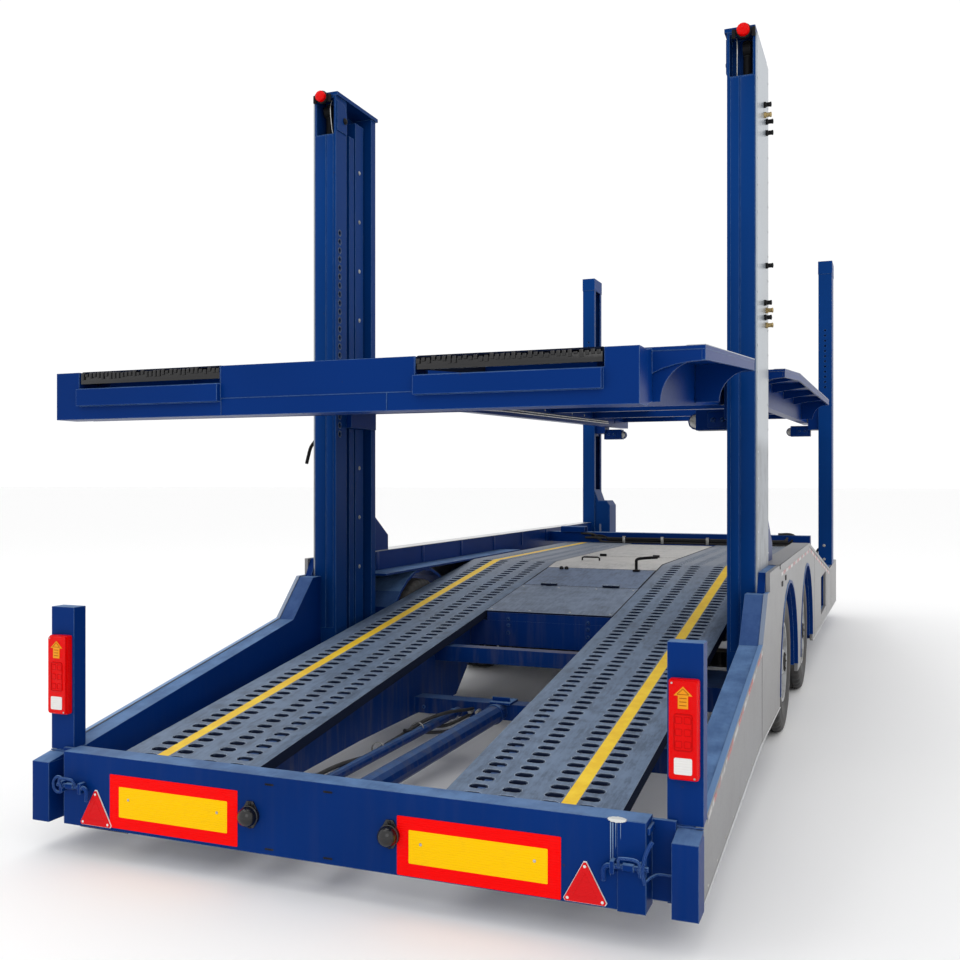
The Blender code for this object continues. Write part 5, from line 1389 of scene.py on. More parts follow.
@dataclass
class WellPlumbing:
    """Clamps, hoses, rams' glands and the bracket in the open well between the tracks."""

    routes: tuple[tuple[Point, ...], ...] = (
        ((-0.262, 0.12, 0.250), (-0.268, 0.60, 0.238), (-0.258, 1.10, 0.262), (-0.236, 1.38, 0.290),
         (-0.190, 1.55, 0.300), (-0.150, 1.72, 0.285), (-0.148, 1.80, 0.275)),
        ((-0.250, 0.12, 0.278), (-0.244, 0.55, 0.284), (-0.262, 1.05, 0.232), (-0.270, 1.42, 0.245),
         (-0.220, 1.62, 0.222), (-0.160, 1.76, 0.248), (-0.150, 1.80, 0.262)),
        ((-0.248, 1.20, 0.285), (-0.215, 1.45, 0.225), (-0.170, 1.60, 0.212), (-0.120, 1.74, 0.236),
         (-0.112, 1.80, 0.262)),
    )

    def build(self) -> None:
        """Make what lies in the well."""
        glands, hoses, ties, eyes, bolts = Shape(), Shape(), Shape(), Shape(), Shape()
        for x, z, radius in ((-0.01, 0.270, 0.045), (-0.23, 0.255, 0.022)):
            for station in (0.30, 1.72):
                glands.lathe([(0.0, radius), (0.0, radius + 0.004), (0.022, radius + 0.004), (0.022, radius)],
                             LAY.at(x, station, z), AHEAD, 24)
        glands.box(LAY.at(-0.052, 1.775, 0.310), LAY.at(0.058, 1.900, 0.322), 0.003)
        glands.box(LAY.at(-0.045, 1.800, 0.322), LAY.at(0.050, 1.806, 0.344), 0.002)
        glands.piece("well_brackets", BLUE)
        for route in self.routes:
            hoses.bent([LAY.at(*knot) for knot in route], 7, 0.0085, 10)
        hoses.piece("well_hoses", HOSE)
        for x, station, z in ((-0.252, 0.42, 0.258), (-0.256, 0.95, 0.256), (-0.246, 1.34, 0.262)):
            ties.lathe([(-0.005, 0.030), (-0.005, 0.033), (0.005, 0.033), (0.005, 0.030), (-0.005, 0.030)],
                       LAY.at(x, station, z), AHEAD, 18)
        for x in (-0.150, -0.112):
            ties.lathe([(0.0, 0.0), (0.0, 0.012), (0.03, 0.012), (0.03, 0.010), (0.045, 0.010), (0.045, 0.0)],
                       LAY.at(x, 1.80, 0.266), BACK, 6)
        ties.piece("hose_clamps", ZINC)
        for x in (-0.01, -0.23):
            eyes.lathe([(0.0, 0.0), (0.0, 0.014), (0.012, 0.014), (0.014, 0.011), (0.014, 0.0)],
                       LAY.at(x + 0.052, 0.20, 0.300), UP, 14)
        eyes.piece("grease_points", BRASS)
        for x in (-0.235, 0.235):
            for z in (0.55, 0.592, 0.628):
                bolts.bolt(LAY.at(x, 2.5797, z), BACK, 0.014, 0.006)
        for x in (-0.42, -0.14, 0.16, 0.42):
            bolts.bolt(LAY.at(x, 1.7997, 0.262), BACK, 0.012, 0.005)
        bolts.piece("well_bolts", BLUE)


@dataclass
class HatchFittings:
    """Latches, lever and lifting bars on the hump's plates."""

    knee: float = 3.97

    def on_deck(self, x: float, station: float) -> Point:
        """A place on the deck's middle plates."""
        return LAY.at(x, station, LAY.deck_z(station))

    def build(self) -> None:
        """Make the fittings."""
        fittings, leaves, seam, screws = Shape(), Shape(), Shape(), Shape()
        for offset in (-0.018, 0.018):
            x, y, z = self.on_deck(-0.245 + offset, 3.735)
            fittings.lathe([(0.0, 0.0), (0.0, 0.014), (0.014, 0.012), (0.020, 0.006), (0.020, 0.0)], (x, y, z), UP, 12)
            fittings.box((x - 0.005, y - 0.020, z), (x + 0.005, y + 0.020, z + 0.010), 0.002)
        x, y, z = self.on_deck(0.250, 3.735)
        fittings.box((x - 0.022, y - 0.020, z), (x + 0.022, y + 0.020, z + 0.012), 0.003)
        lever = ((0.0, 0.0, 0.008), (0.0, 0.0, 0.055), (0.004, 0.004, 0.078), (0.040, 0.030, 0.086),
                 (0.120, 0.090, 0.090))
        fittings.bent([(x + dx, y + dy, z + dz) for dx, dy, dz in lever], 6, 0.010, 10)
        a, b = self.on_deck(-0.235, 4.16), self.on_deck(-0.110, 4.16)
        bar = ((a, 0.0, 0.0), (a, 0.0, 0.018), (a, 0.012, 0.024), (b, -0.012, 0.024), (b, 0.0, 0.018), (b, 0.0, 0.0))
        fittings.tube([(foot[0] + dx, foot[1], foot[2] + dz) for foot, dx, dz in bar], 0.006, 8)
        for x in (-0.20, 0.20):
            x, y, z = self.on_deck(x, 4.62)
            fittings.box((x - 0.024, y - 0.018, z), (x + 0.024, y + 0.018, z + 0.005), 0.0015)
            fittings.can((x, y, z + 0.009), ACROSS, 0.010, -0.024, 0.024, 12)
        fittings.piece("cover_fittings", BLACK)
        for sign in SIGNS:
            x, y, z = self.on_deck(sign * 0.20, 3.272)
            leaves.box((x - 0.016, y - 0.004, z + 0.0003), (x + 0.016, y + 0.040, z + 0.0033), 0.001,
                       Matrix.Rotation(math.atan(0.134), 3, "X"))
        leaves.piece("hatch_hinge_leaves", BLUE, Body.HATCH)
        x, y, z = self.on_deck(0.0, 4.635)
        seam.box((-0.368, y - 0.0022, z + 0.0002), (0.368, y + 0.0022, z + 0.0008), 0.0)
        for sign in SIGNS:
            for a, b in ((2.60, self.knee), (self.knee, 6.30)):
                outline = strip((a, LAY.deck_z(a)), (b, LAY.deck_z(b)), 0.0003, 0.0008)
                seam.prism(outline, 0.3722, 0.3752, in_side(0.0, sign))
        seam.piece("cover_seam", BLACK)
        for station in (2.62, 3.20, 4.00, 4.58, 4.80, 5.60, 6.12):
            for x in (-0.352, -0.12, 0.12, 0.352):
                axis = (0, -0.13 if station < self.knee else 0.0, 1)
                screws.rivet(self.on_deck(x, station), axis, 0.007, 0.006, 0.0014, 0.002, 12)
        screws.piece("cover_screws", ZINC)


@dataclass
class FrontPipes:
    """Pipes, clips, sill and bracket of the crossbeam ahead of the hump, and the hoses down the right rail."""

    beam_start: float = 6.37

    def build(self) -> None:
        """Make the pipe run."""
        top, y = LAY.hump_z + 0.0955, LAY.y(self.beam_start)
        for index, (left, right, z, finish) in enumerate((
                (-0.66, 1.00, 0.8695, HOSE), (-0.60, 1.02, 0.888, BLACK), (-0.70, 0.98, 0.906, HOSE))):
            path = ((left - 0.16, 0.002, 0.036), (left - 0.06, 0.018, 0.036), (left - 0.01, 0.020, 0.020),
                    (left + 0.05, 0.020, 0.0), (0.0, 0.020, 0.0), (right - 0.08, 0.020, 0.0),
                    (right - 0.02, 0.020, 0.008), (right, 0.002, 0.030))
            Shape().bent(beside(path, 1, y, z), 6, 0.0095, 8).piece(f"front_pipe_{index + 1}", finish)
        clips, hoses, holds = Shape(), Shape(), Shape()
        for x in (-0.45, -0.10, 0.30, 0.72):
            clips.box((x - 0.012, y - 0.034, 0.8600), (x + 0.012, y - 0.0304, 0.922), 0.0012)
            clips.box((x - 0.012, y - 0.034, 0.918), (x + 0.012, y - 0.0005, 0.924), 0.0012)
            clips.bolt((x, y - 0.0340, 0.897), BACK, 0.008, 0.004)
        clips.piece("pipe_clips", ZINC)
        Shape().box((-0.66, y - 0.030, 0.8380), (0.66, y - 0.0006, 0.8600), 0.002).piece("front_sill", BLUE_DEEP)
        outline = [(0.0, 0.0), (0.0, 0.046), (0.006, 0.052), (0.084, 0.052), (0.090, 0.046), (0.090, 0.0),
                   (0.084, 0.0), (0.084, 0.046), (0.006, 0.046), (0.006, 0.0)]
        bracket = Shape().prism(outline, -1.05, -0.82, lambda a, b, x: (x, y - 0.02 + a, top + b - 0.0005))
        bracket.piece("front_bracket", BLUE)
        for lift in (0.0, 0.016, -0.012):
            rail = ((1.138, 6.82, 0.650), (1.140, 7.10, 0.590), (1.140, 7.40, 0.552), (1.140, 7.70, 0.545),
                    (1.152, 7.915, 0.545))
            path = [(0.90, y + 0.02, top + 0.006 + lift * 0.3), (1.02, y + 0.06, top - 0.002 + lift * 0.3),
                    (1.10, y + 0.18, top - 0.12 + lift), *[LAY.at(x, station, z + lift) for x, station, z in rail]]
            hoses.bent(path, 7, 0.009, 8)
        hoses.piece("front_hoses", HOSE)
        for station, z in ((7.10, 0.590), (7.60, 0.547)):
            rear, front = LAY.y(station) - 0.013, LAY.y(station) + 0.013
            for right, low, high in ((1.1642, -0.026, -0.023), (1.1642, 0.030, 0.033), (1.129, -0.026, 0.033)):
                holds.box((1.126, rear, z + low), (right, front, z + high), 0.0008)
        holds.piece("hose_holders", ZINC)


@dataclass
class PostFittings:
    """What the lifting posts carry: strips, pulleys, lamps, lugs, valves, rivets, bolts and the left lever."""

    inner: float = 1.070
    cladding: float = 1.2125
    holes: int = 24
    hole_pitch: float = 0.0492
    hole_top: float = 2.82

    def rear_faces(self, side: Side) -> None:
        """Make the strips on a rear post's rear face, the pulley and line in its window, and its lamp."""
        sign, word = side.sign, side.word
        y = LAY.y(LAY.post_start)
        strips, pulley, bracket = Shape(), Shape(), Shape()
        for left, right in ((LAY.post_inner + 0.052, LAY.post_outer - 0.004),
                            (LAY.post_inner + 0.004, LAY.post_inner + 0.046)):
            strips.box((sign * left, y - 0.0022, 0.60), (sign * right, y - GAP, LAY.post_top - 0.220), 0.0008)
        strips.piece(f"rear_post_strips_{word}", BLUE_POST)
        self.post_top(side)
        x = sign * (LAY.post_inner + 0.074)
        pulley.tube([(x, y + 0.085, 3.30), (x, y + 0.085, 3.560)], 0.020, 20)
        pulley.can((x, y + 0.080, 3.52), ACROSS, 0.036, -0.018, 0.018, 24)
        pulley.piece(f"rear_post_pulley_{word}", BLACK)
        line = ((LAY.post_inner + 0.030, -0.03, 3.570), (LAY.post_inner + 0.034, -0.02, 3.52),
                (LAY.post_inner + 0.032, -0.03, 3.43), (LAY.post_inner + 0.030, -0.05, 3.36))
        Shape().bent(beside(line, sign, y, 0.0), 6, 0.003, 8).piece(f"rear_post_line_{word}", ZINC)
        low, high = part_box(f"post_lamp_{word}")
        x, y, z = (low.x + high.x) / 2, high.y, (low.z + high.z) / 2
        bracket.lathe([(0.0, 0.031), (0.0, 0.036), (0.016, 0.036), (0.020, 0.033), (0.020, 0.0305)], (x, y, z), BACK,
                      24)
        for dx in (-0.046, 0.046):
            bracket.box((x + dx - 0.009, y - 0.016, z - 0.030), (x + dx + 0.009, y - 0.001, z + 0.014), 0.003)
        bracket.piece(f"post_lamp_bracket_{word}", BLACK)
        lens = Shape().lathe([(0.0005, 0.0), (0.0005, 0.029), (0.004, 0.0275), (0.007, 0.020), (0.0085, 0.0)],
                             (x, low.y, z), BACK, 28)
        lens.piece(f"post_lamp_lens_{word}", RED_LENS)

    def post_top(self, side: Side) -> None:
        """Make a rear post's lug plate and its pin, and round its row of holes black rings of painted shade and pale
        rims of rubbed paint and painted highlight.
        """
        sign, word = side.sign, side.word
        inwards = (-sign, 0, 0)
        pin, holes, rims = Shape(), Shape(), Shape()
        outline = [(2.060, 3.556), (2.116, 3.556), (2.140, 3.549), (2.157, 3.534), (2.167, 3.512), (2.170, 3.488),
                   (2.170, 3.391), (2.060, 3.391)]
        lug = Shape().prism(outline, 0.0, 0.006, in_side(sign * (self.inner - 0.0001), -sign), 0.001)
        lug.piece(f"post_lug_{word}", BLUE_POST)
        pin.lathe([(0.0, 0.0), (0.0, 0.018), (0.006, 0.018), (0.008, 0.015), (0.008, 0.0)],
                  LAY.at(sign * 1.0639, 2.142, 3.462), inwards, 20)
        pin.bolt(LAY.at(sign * 1.0562, 2.142, 3.462), inwards, 0.018, 0.005)
        pin.piece(f"post_pin_{word}", BLACK)
        for index in range(self.holes):
            centre = LAY.at(sign * (self.inner + 0.0001), 2.095, self.hole_top - self.hole_pitch * index)
            # A black ring round each hole makes it look wider and darker: painted shade.
            holes.lathe([(0.0, 0.0137), (0.0005, 0.0137), (0.0005, 0.0188), (0.0, 0.0188), (0.0, 0.0137)], centre,
                        inwards, 6)
            # A pale ring round that: rubbed paint and a painted highlight on the lip.
            rims.lathe([(0.0, 0.0188), (0.0009, 0.0190), (0.0009, 0.0206), (0.0, 0.0208), (0.0, 0.0188)], centre,
                       inwards, 6)
        holes.piece(f"post_hole_faces_{word}", HOSE)
        rims.piece(f"post_hole_rims_{word}", RUBBED_AND_HIGHLIGHT)

    def valves(self, side: Side) -> None:
        """Make the hose fittings and rivets down a post's cladding."""
        sign, out = side.sign, (side.sign, 0, 0)
        bodies, caps, rivets = Shape(), Shape(), Shape()
        spots = ((bodies, ((3.310, 2.33), (3.253, 2.42), (3.196, 2.42), (2.520, 2.42), (2.320, 2.35), (2.246, 2.35))),
                 (caps, ((3.262, 2.34), (2.292, 2.42), (2.216, 2.42))))
        for target, places in spots:
            for z, station in places:
                target.lathe([(0.0, 0.0), (0.0, 0.015), (0.010, 0.015), (0.012, 0.011), (0.028, 0.011), (0.030, 0.013),
                              (0.036, 0.012), (0.038, 0.0)], LAY.at(sign * (self.cladding + 0.0003), station, z),
                             out, 12)
        bodies.piece(f"post_valves_{side.word}", BLACK)
        caps.piece(f"post_unions_{side.word}", BRASS)
        for step in range(20):
            for station in (LAY.post_start + 0.02, LAY.post_end - 0.02):
                spot = LAY.at(sign * (self.cladding + 0.0001), station, 1.05 + step * 0.128)
                rivets.rivet(spot, out, 0.006, 0.005, 0.002, 0.003, 8)
        rivets.piece(f"cladding_rivets_{side.word}", TRIM)

    def lever(self) -> None:
        """Make the bent lever that hangs outside the left rear post."""
        y, z = LAY.y(2.12), 1.672
        path = ((self.cladding, 0.0, 0.0), (1.226, 0.004, -0.004), (1.238, 0.014, -0.024), (1.252, 0.034, -0.058),
                (1.260, 0.044, -0.100), (1.264, 0.060, -0.150))
        shape = Shape().bent(beside(path, -1, y, z), 6, 0.0100, 10)
        shape.can((-self.cladding, y, z), (-1, 0, 0), 0.022, 0.0, 0.016, 16).piece("post_lever", BLACK)

    def bolts(self) -> None:
        """Make the bolts of the front posts' feet and the rear posts' guides."""
        bolts = Shape()
        for sign in SIGNS:
            for z in (0.655, 0.79):
                bolts.bolt((sign * 1.195, LAY.y(LAY.front_post_start) - 0.0002, z), BACK, 0.016, 0.006)
            for step in range(9):
                bolts.bolt(LAY.at(sign * 1.0998, 2.389, 0.92 + step * 0.29), (-sign, 0, 0), 0.014, 0.005)
        bolts.piece("post_bolts", ZINC)

    def gear(self, side: Side, body: Body, station: float, tag: str) -> None:
        """Make the caps of one carriage's roller and the plate on its arm."""
        sign, y = side.sign, LAY.y(station)
        pin = LAY.upper_z(station) - 0.115
        cap, plate = Shape(), Shape()
        for end in SIGNS:
            cap.lathe([(0.0301, 0.0), (0.0301, 0.036), (0.034, 0.036), (0.036, 0.030), (0.036, 0.014), (0.046, 0.012),
                       (0.046, 0.0)], (sign * 0.868, y, pin - 0.1555), (0, end, 0), 18)
        cap.piece(f"{tag}_roller_caps_{side.word}", ZINC, body)
        plate.box((sign * 0.93, y - 0.060, pin - 0.190), (sign * 1.03, y - 0.0555, pin - 0.108), 0.001)
        for x in (0.955, 1.005):
            plate.bolt((sign * x, y - 0.060, pin - 0.150), BACK, 0.014, 0.007)
        plate.piece(f"{tag}_arm_plate_{side.word}", BLUE, body)

    def build(self) -> None:
        """Make everything on the posts; the left rear carriage has no roller."""
        for side in Side:
            self.rear_faces(side)
        for side in Side:
            self.valves(side)
        self.lever()
        self.bolts()
        for side in Side:
            if side is Side.RIGHT:
                self.gear(side, Body.REAR_LIFT, LAY.rear_pin, "rear")
            self.gear(side, Body.FRONT_LIFT, LAY.front_pin, "front")


@dataclass
class SideDressing:
    """Trim, tape, joints, rivets, linings, ribs and small blocks of both sides."""

    def edge(self, side: Side) -> list[Flat]:
        """The top edge of a side ahead of the rear post, rear first."""
        if side is Side.RIGHT:
            return [(LAY.post_end, LAY.wall_top), (4.66, LAY.wall_top), (7.35, LAY.low_wall_top)]
        return [(LAY.post_end, LAY.wall_top), (7.85, LAY.wall_top)]

    def spans(self, side: Side) -> list[tuple[float, float, float, float, float]]:
        """The runs of tape on a side: both ends' stations and heights, and half the width."""
        top = LAY.wall_top
        rail = (0.19, LAY.rail_z(0.19) - 0.016, 1.72, LAY.rail_z(1.72) - 0.016, 0.011)
        if side is Side.RIGHT:
            return [rail, (4.66, top - 0.036, 7.33, LAY.low_wall_top - 0.036, 0.012),
                    (2.60, top - 0.052, 4.62, top - 0.052, 0.009)]
        return [rail, (2.60, top - 0.056, 7.80, top - 0.056, 0.020)]

    def dress(self, side: Side) -> None:
        """Make the dressing of one side."""
        sign, word = side.sign, side.word
        cap, tape, seams, rivets, blocks, lip, ribs = (Shape() for _ in range(7))
        for a, b in zip(self.edge(side), self.edge(side)[1:]):
            cap.prism(strip(a, b, 0.0004, 0.0034), 1.158, 1.2742, in_side(0.0, sign))
            cap.prism(strip(a, b, -0.020, 0.0034), 1.2712, 1.2745, in_side(0.0, sign))
        cap.piece(f"wall_cap_{word}", TRIM if side is Side.LEFT else PANEL)
        for a, za, b, zb, half in self.spans(side):
            tape.prism(strip((a, za), (b, zb), -half, half), 0.0, 0.0008, in_side(sign * (LAY.skin + 0.0002), sign))
        tape.piece(f"edge_tape_{word}", TAPE)
        for station, low, high in ((1.714, 0.252, LAY.rail_z(1.714) - 0.004), (5.25, 0.252, LAY.wall_top - 0.13),
                                   (6.90, 0.252, 0.64), (7.62, 0.24, 0.58)):
            left, right = station - 0.0025, station + 0.0025
            seams.prism([(left, low), (right, low), (right, high), (left, high)], 0.0, 0.0005,
                        in_side(sign * (LAY.skin + 0.0001), sign))
        seams.piece(f"panel_seams_{word}", BLACK)
        for station in [0.2 + 0.19 * i for i in range(8)] + [4.95 + 0.22 * i for i in range(16)]:
            if not 5.20 < station < 5.30:
                z = 0.275 if station > 1.65 else 0.135 + 0.085 * station
                rivets.rivet(LAY.at(sign * LAY.skin, station, z), (sign, 0, 0), 0.006, 0.005, 0.0015, 0.0025, 8)
        rivets.piece(f"panel_rivets_{word}", ZINC)
        for station, z in ((2.66, 0.880), (2.86, 0.896)):
            y = LAY.y(station)
            blocks.box((sign * LAY.skin, y - 0.026, z - 0.014), (sign * 1.2748, y + 0.026, z + 0.014), 0.002)
        blocks.piece(f"side_lamp_blocks_{word}", RUBBER)
        lining = Shape().box(LAY.at(sign * 1.2320, 6.054, 0.324), LAY.at(sign * 1.2332, 6.746, 0.626), 0.0004)
        lining.piece(f"stowage_lining_{word}", RUBBER)
        for a, za, b, zb in ((0.11, 0.1212, 1.65, 0.2515), (1.65, 0.2515, 2.53, 0.2515), (5.05, 0.2515, 8.68, 0.1715)):
            lip.tube([LAY.at(sign * 1.2715, a, za), LAY.at(sign * 1.2715, b, zb)], 0.0032, 6)
        lip.piece(f"panel_lower_edge_{word}", TRIM)
        for station in (2.75, 3.45, 4.15, 4.85, 5.55, 6.25, 6.95)[:3 if side is Side.RIGHT else None]:
            y = LAY.y(station)
            ribs.box((sign * 1.1630, y - 0.020, LAY.hump_z + 0.012), (sign * 1.1590, y + 0.020, LAY.wall_top - 0.004),
                     0.001)
        ribs.piece(f"wall_ribs_{word}", BLUE_DEEP)

    def build(self) -> None:
        """Make the dressing of both sides."""
        for side in Side:
            self.dress(side)


@dataclass
class UpperDressing:
    """Seals, seams, ribs, edges, bolts and pipes of the upper deck."""

    start: float = -0.07
    teeth: int = 34
    stretches: tuple[Flat, ...] = ((0.13, 1.40), (2.78, 7.20))

    def seals(self, y: float, top: float) -> None:
        """Make the torn rubber seals at the rear ends of the tracks."""
        seal = Shape()
        rng = random.Random(3)
        x0, x1 = LAY.track_inner + 0.004, LAY.track_outer - 0.004
        for sign in SIGNS:
            seal.box((sign * x0, y + 0.024, top - 0.044), (sign * x1, y + 0.032, top - 0.012), 0.002)
            for tooth in range(self.teeth):
                a = x0 + (x1 - x0) * tooth / self.teeth
                b = a + (x1 - x0) / self.teeth * 0.72
                lift, drop = rng.uniform(-0.005, 0.004), rng.uniform(0.0, 0.012)
                seal.box((sign * a, y + 0.020, top - 0.016 - drop), (sign * b, y + 0.036, top - 0.005 + lift), 0.0015)
        seal.piece("upper_track_seals", GLOSS_RUBBER, Body.UPPER)

    def seams(self, y: float, top: float) -> None:
        """Make the raised seams of the rear beam."""
        plates = Shape()
        for left, right, low, high, front, chamfer in (
                (-0.377, -0.372, 0.058, 0.002, 0.0222, 0.0005), (0.372, 0.377, 0.058, 0.002, 0.0222, 0.0005),
                (-0.372, 0.374, 0.1165, 0.1130, 0.0222, 0.0006), (0.272, 0.2745, 0.172, 0.1150, 0.0220, 0.0004),
                (-0.373, -0.3705, 0.172, 0.1150, 0.0220, 0.0004)):
            plates.box((left, y + 0.0205, top - low), (right, y + front, top - high), chamfer)
        plates.piece("rear_beam_seams", BLUE, Body.UPPER)

    def wing(self, edges: Shape, ribs: Shape, sign: int) -> None:
        """Add one wing's edge strips and ribs, with a round gusset at each end of a stretch."""
        for start, end in self.stretches:
            stations = [start, *[s for s, z in LAY.upper if start < s < end], end]
            for a, b in zip(stations, stations[1:]):
                outline = strip((a, LAY.upper_z(a)), (b, LAY.upper_z(b)), 0.0003, 0.0026)
                edges.prism(outline, 1.215, 1.2748, in_side(0.0, sign))
            count = max(1, round((end - start) / 0.90))
            for step in range(count + 1):
                s = start + (end - start) * step / count
                s += 0.0185 * (1 if step == 0 else -1 if step == count else 0)
                z = LAY.upper_z(s) - 0.0123
                outline = [(1.032, z), (1.262, z), (1.262, z - 0.030), (1.150, z - 0.044), (1.032, z - 0.060)]
                if step in (0, count):
                    outline = [(1.262, z), *[(1.262 - 0.130 * math.sin(a), z - 0.160 + 0.130 * math.cos(a))
                                             for a in turns(0, 91, 9)], (1.032, z - 0.160), (1.032, z)]
                ribs.prism(outline, LAY.y(s) - 0.004, LAY.y(s) + 0.004, lambda x, up, y: (sign * x, y, up))
        for s in (0.175, 0.245):
            z = LAY.upper_z(s) - 0.075
            ribs.box(LAY.at(sign * 1.075, 0.128, z - 0.02), LAY.at(sign * 1.100, 0.1296, z + 0.02), 0.001)

    def build(self) -> None:
        """Make the upper deck's dressing."""
        y, top = LAY.y(self.start), LAY.upper[0][1]
        self.seals(y, top)
        self.seams(y, top)
        edges, ribs, bolts, pipes = Shape(), Shape(), Shape(), Shape()
        for sign in SIGNS:
            self.wing(edges, ribs, sign)
            for s in [0.5 + 0.42 * i for i in range(19)]:
                if min(abs(s - LAY.rear_pin), abs(s - LAY.front_pin)) > 0.16:
                    bolts.bolt(LAY.at(sign * 0.9498, s, LAY.upper_z(s) - 0.10), (-sign, 0, 0), 0.014, 0.005)
        edges.piece("wing_edge_strips", TRIM, Body.UPPER)
        ribs.piece("wing_ribs", BLUE_DEEP, Body.UPPER)
        bolts.piece("upper_beam_bolts", ZINC, Body.UPPER)
        for offset in (0.0, 0.018):
            pipes.tube([LAY.at(-0.9425 + offset * 0.2, s, LAY.upper_z(s) - 0.135 - offset)
                        for s in (0.35, 1.4, 2.1, 3.2, 4.4, 5.6, 6.8, 7.7)], 0.006, 8)
        pipes.piece("upper_pipes", ZINC, Body.UPPER)


@dataclass
class Underside:
    """Bellows, bolts, brake chambers and hoses about the axles."""

    axles: tuple[tuple[str, float], ...] = (("rear", 3.11), ("front", 4.47))

    def build(self) -> None:
        """Make the running gear's details."""
        fold = [(0.016 * math.sin(t), 0.0855 + 0.008 * math.cos(t)) for t in turns(-90, 91, 30)]
        chamber = [(0.0, 0.0), (0.0, 0.030), (0.012, 0.070), (0.060, 0.076), (0.066, 0.082), (0.078, 0.082),
                   (0.084, 0.076), (0.130, 0.070), (0.146, 0.050), (0.146, 0.0)]
        strap = ((-0.043, 0.322), (-0.043, 0.435), (-0.025, 0.456), (0.025, 0.456), (0.043, 0.435), (0.043, 0.322))
        for position, station in self.axles:
            bellows, straps, chambers, hoses = Shape(), Shape(), Shape(), Shape()
            y = LAY.y(station)
            for sign in SIGNS:
                x, cx = sign * 0.515, sign * 0.72
                for z in (0.405, 0.445, 0.485):
                    bellows.lathe(fold, LAY.at(x, station + 0.19, z), UP, 28)
                for dy in (-0.058, 0.058):
                    straps.tube([(x + dx, y + dy, z) for dx, z in strap], 0.0075, 8)
                straps.box((x - 0.055, y - 0.075, 0.318), (x + 0.055, y + 0.075, 0.3298), 0.002)
                chambers.lathe(chamber, LAY.at(cx, station - 0.085, 0.395), BACK, 24)
                chambers.box((cx - 0.030, y - 0.090, 0.372), (cx + 0.030, y - 0.045, 0.418), 0.004)
                path = ((0.72, 0.20, 0.468), (0.70, 0.22, 0.515), (0.62, 0.20, 0.545), (0.562, 0.16, 0.555))
                hoses.bent([LAY.at(sign * out, station - behind, z) for out, behind, z in path], 6, 0.008, 8)
            bellows.piece(f"air_spring_folds_{position}", RUBBER)
            straps.piece(f"axle_straps_{position}", ZINC)
            chambers.piece(f"brake_chambers_{position}", AXLE)
            hoses.piece(f"brake_hoses_{position}", HOSE)


@dataclass
class FrontGear:
    """Valve block by the right front post with its levers and hoses, and the bolts of drawbar and legs."""

    valves: int = 5

    def build(self) -> None:
        """Make the front's details."""
        valve, levers, hoses, bolts = Shape(), Shape(), Shape(), Shape()
        y0 = LAY.y(8.225)
        valve.box((1.140, y0, 0.640), (1.252, y0 + 0.230, 0.700), 0.004)
        valve.box((1.150, y0 + 0.012, 0.700), (1.240, y0 + 0.218, 0.845), 0.005)
        for index in range(self.valves):
            y = y0 + 0.035 + index * 0.040
            valve.lathe([(0.0, 0.0), (0.0, 0.015), (0.012, 0.015), (0.016, 0.010), (0.016, 0.0)], (1.195, y, 0.845),
                        UP, 12)
            levers.bent([(1.205, y, 0.850), (1.222, y, 0.905), (1.232, y, 0.985)], 5, 0.0055, 8)
            levers.lathe([(0.0, 0.0), (0.002, 0.009), (0.014, 0.013), (0.026, 0.010), (0.030, 0.0)],
                         (1.231, y, 0.975), (0.1, 0, 1), 12)
            hoses.bent([(1.155, y, 0.74), (1.120, y + 0.004, 0.735), (1.100, y, 0.70), (1.098, y - 0.02, 0.64),
                        (1.080, y + 0.02, 0.52), (1.00, y + 0.03, 0.40)], 6, 0.0085, 8)
        valve.piece("control_valve", ZINC)
        levers.piece("control_levers", BLACK)
        hoses.piece("control_hoses", HOSE)
        for sign in SIGNS:
            for station in (7.50, 7.58, 8.58, 8.66):
                bolts.bolt(LAY.at(sign * 0.0802, station, 0.26), (sign, 0, 0), 0.022, 0.010)
            for index in range(5):
                bolts.rivet((sign * 1.0, LAY.y(8.82) - 0.0455, 0.20 + index * 0.07), BACK, 0.008, 0.007, 0.0012, 0.0012,
                            10)
        bolts.piece("front_bolts", ZINC)


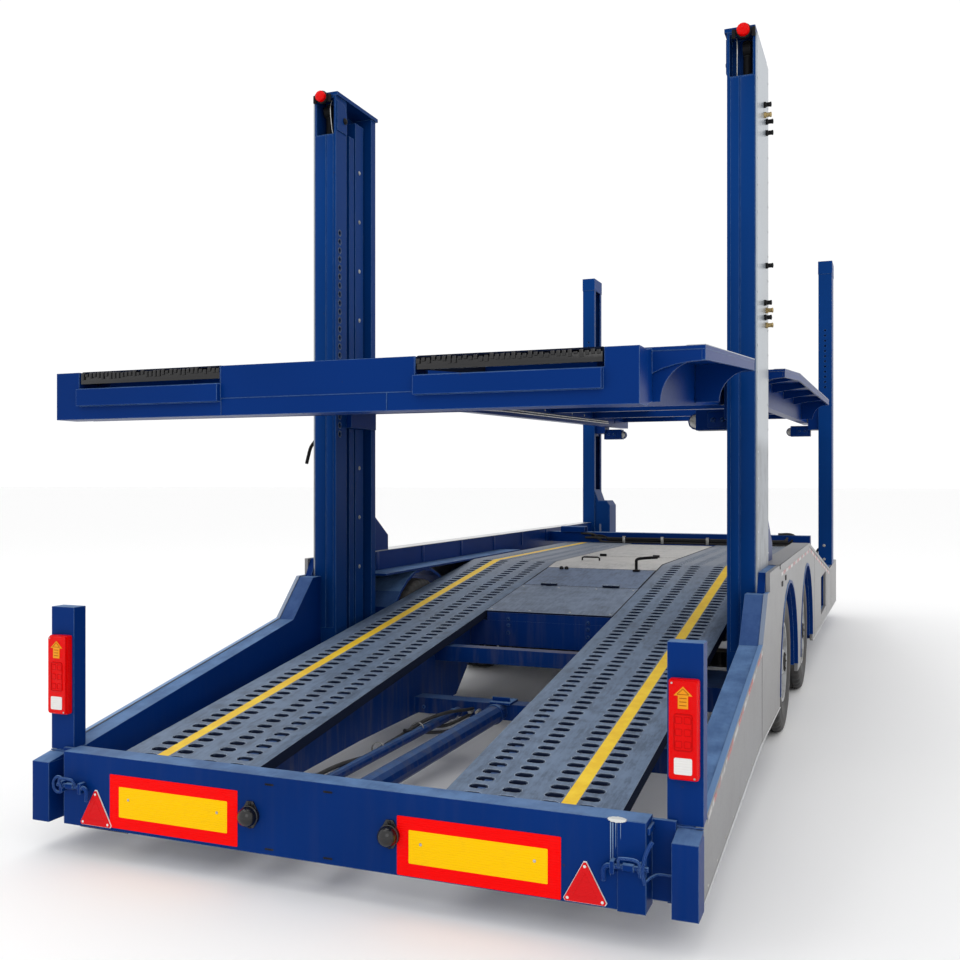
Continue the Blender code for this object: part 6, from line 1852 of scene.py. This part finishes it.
@dataclass
class Studio:
    """Floor, soft lights and the camera."""

    lens: float = 39.61
    place: Point = (1.798, -8.436, 1.416)
    turn: float = 22.31
    shift: Flat = (0.0244, 0.0024)
    floor_reach: float = 260.0
    air: float = 1.04
    sensor: float = 36.0
    clip: Flat = (0.05, 800.0)

    def floor(self) -> None:
        """Make the pale floor."""
        mesh = bpy.data.meshes.new("floor")
        reach = self.floor_reach
        mesh.from_pydata([(-reach, -reach, 0), (reach, -reach, 0), (reach, reach, 0), (-reach, reach, 0)], [],
                         [(0, 1, 2, 3)])
        mesh.materials.append(GROUND.material())
        made = placed("floor", mesh)

    def light(self, name: str, place: Point, aim: Point, size: float, power: float, colour: Colour) -> None:
        """Add a square soft light that looks at a point."""
        data = bpy.data.lights.new(name, "AREA")
        data.shape, data.size, data.energy, data.color = "SQUARE", size, power, colour
        lamp = placed(name, data)
        lamp.location = place
        lamp.rotation_euler = (Vector(aim) - Vector(place)).to_track_quat("-Z", "Y").to_euler()

    def build(self) -> None:
        """Make the studio."""
        self.floor()
        world = bpy.data.worlds.new("studio air")
        world.use_nodes = True
        sky = world.node_tree.nodes["Background"].inputs
        sky[0].default_value, sky[1].default_value = (1.0, 1.0, 1.0, 1.0), self.air
        bpy.context.scene.world = world
        self.light("high light", (-3.5, -3.0, 11.0), (0, 0, 1), 9.0, 300.0, (1.0, 0.99, 0.97))
        self.light("rear light", (3.5, -14.0, 6.0), (0, -4, 1), 6.0, 130.0, (1.0, 1.0, 1.0))
        bpy.context.scene.view_settings.view_transform = "Standard"
        data = bpy.data.cameras.new("camera")
        data.lens, data.sensor_width = self.lens, self.sensor
        data.shift_x, data.shift_y = self.shift
        data.clip_start, data.clip_end = self.clip
        camera = placed("camera", data)
        camera.location = self.place
        camera.rotation_euler = (math.radians(90.0), 0.0, math.radians(self.turn))
        bpy.context.scene.camera = camera


def main() -> None:
    """Build every piece in order."""
    logging.basicConfig(level=logging.INFO, format="%(name)s %(message)s")
    coat_nodes()
    for side in Side:
        PerforatedTrack(side, f"lower_track_{side.word}", Body.TRAILER, TRACK, LAY.deck, 0.0953, 8.70).build()
        PerforatedTrack(side, f"upper_track_{side.word}", Body.UPPER, UPPER_TRACK, LAY.upper, -0.036, 8.66).build()
        TailLamp(side).build()
        for position in ("rear", "front"):
            Tyre(position, side).build()
            WheelFittings(position, side).build()
    for assembly in (RearFace(), WellPlumbing(), HatchFittings(), FrontPipes(), PostFittings(), SideDressing(),
                     UpperDressing(), Underside(), FrontGear(), Studio()):
        assembly.build()
        LOG.info("%s is built", type(assembly).__name__)


if __name__ == "__main__":
    main()
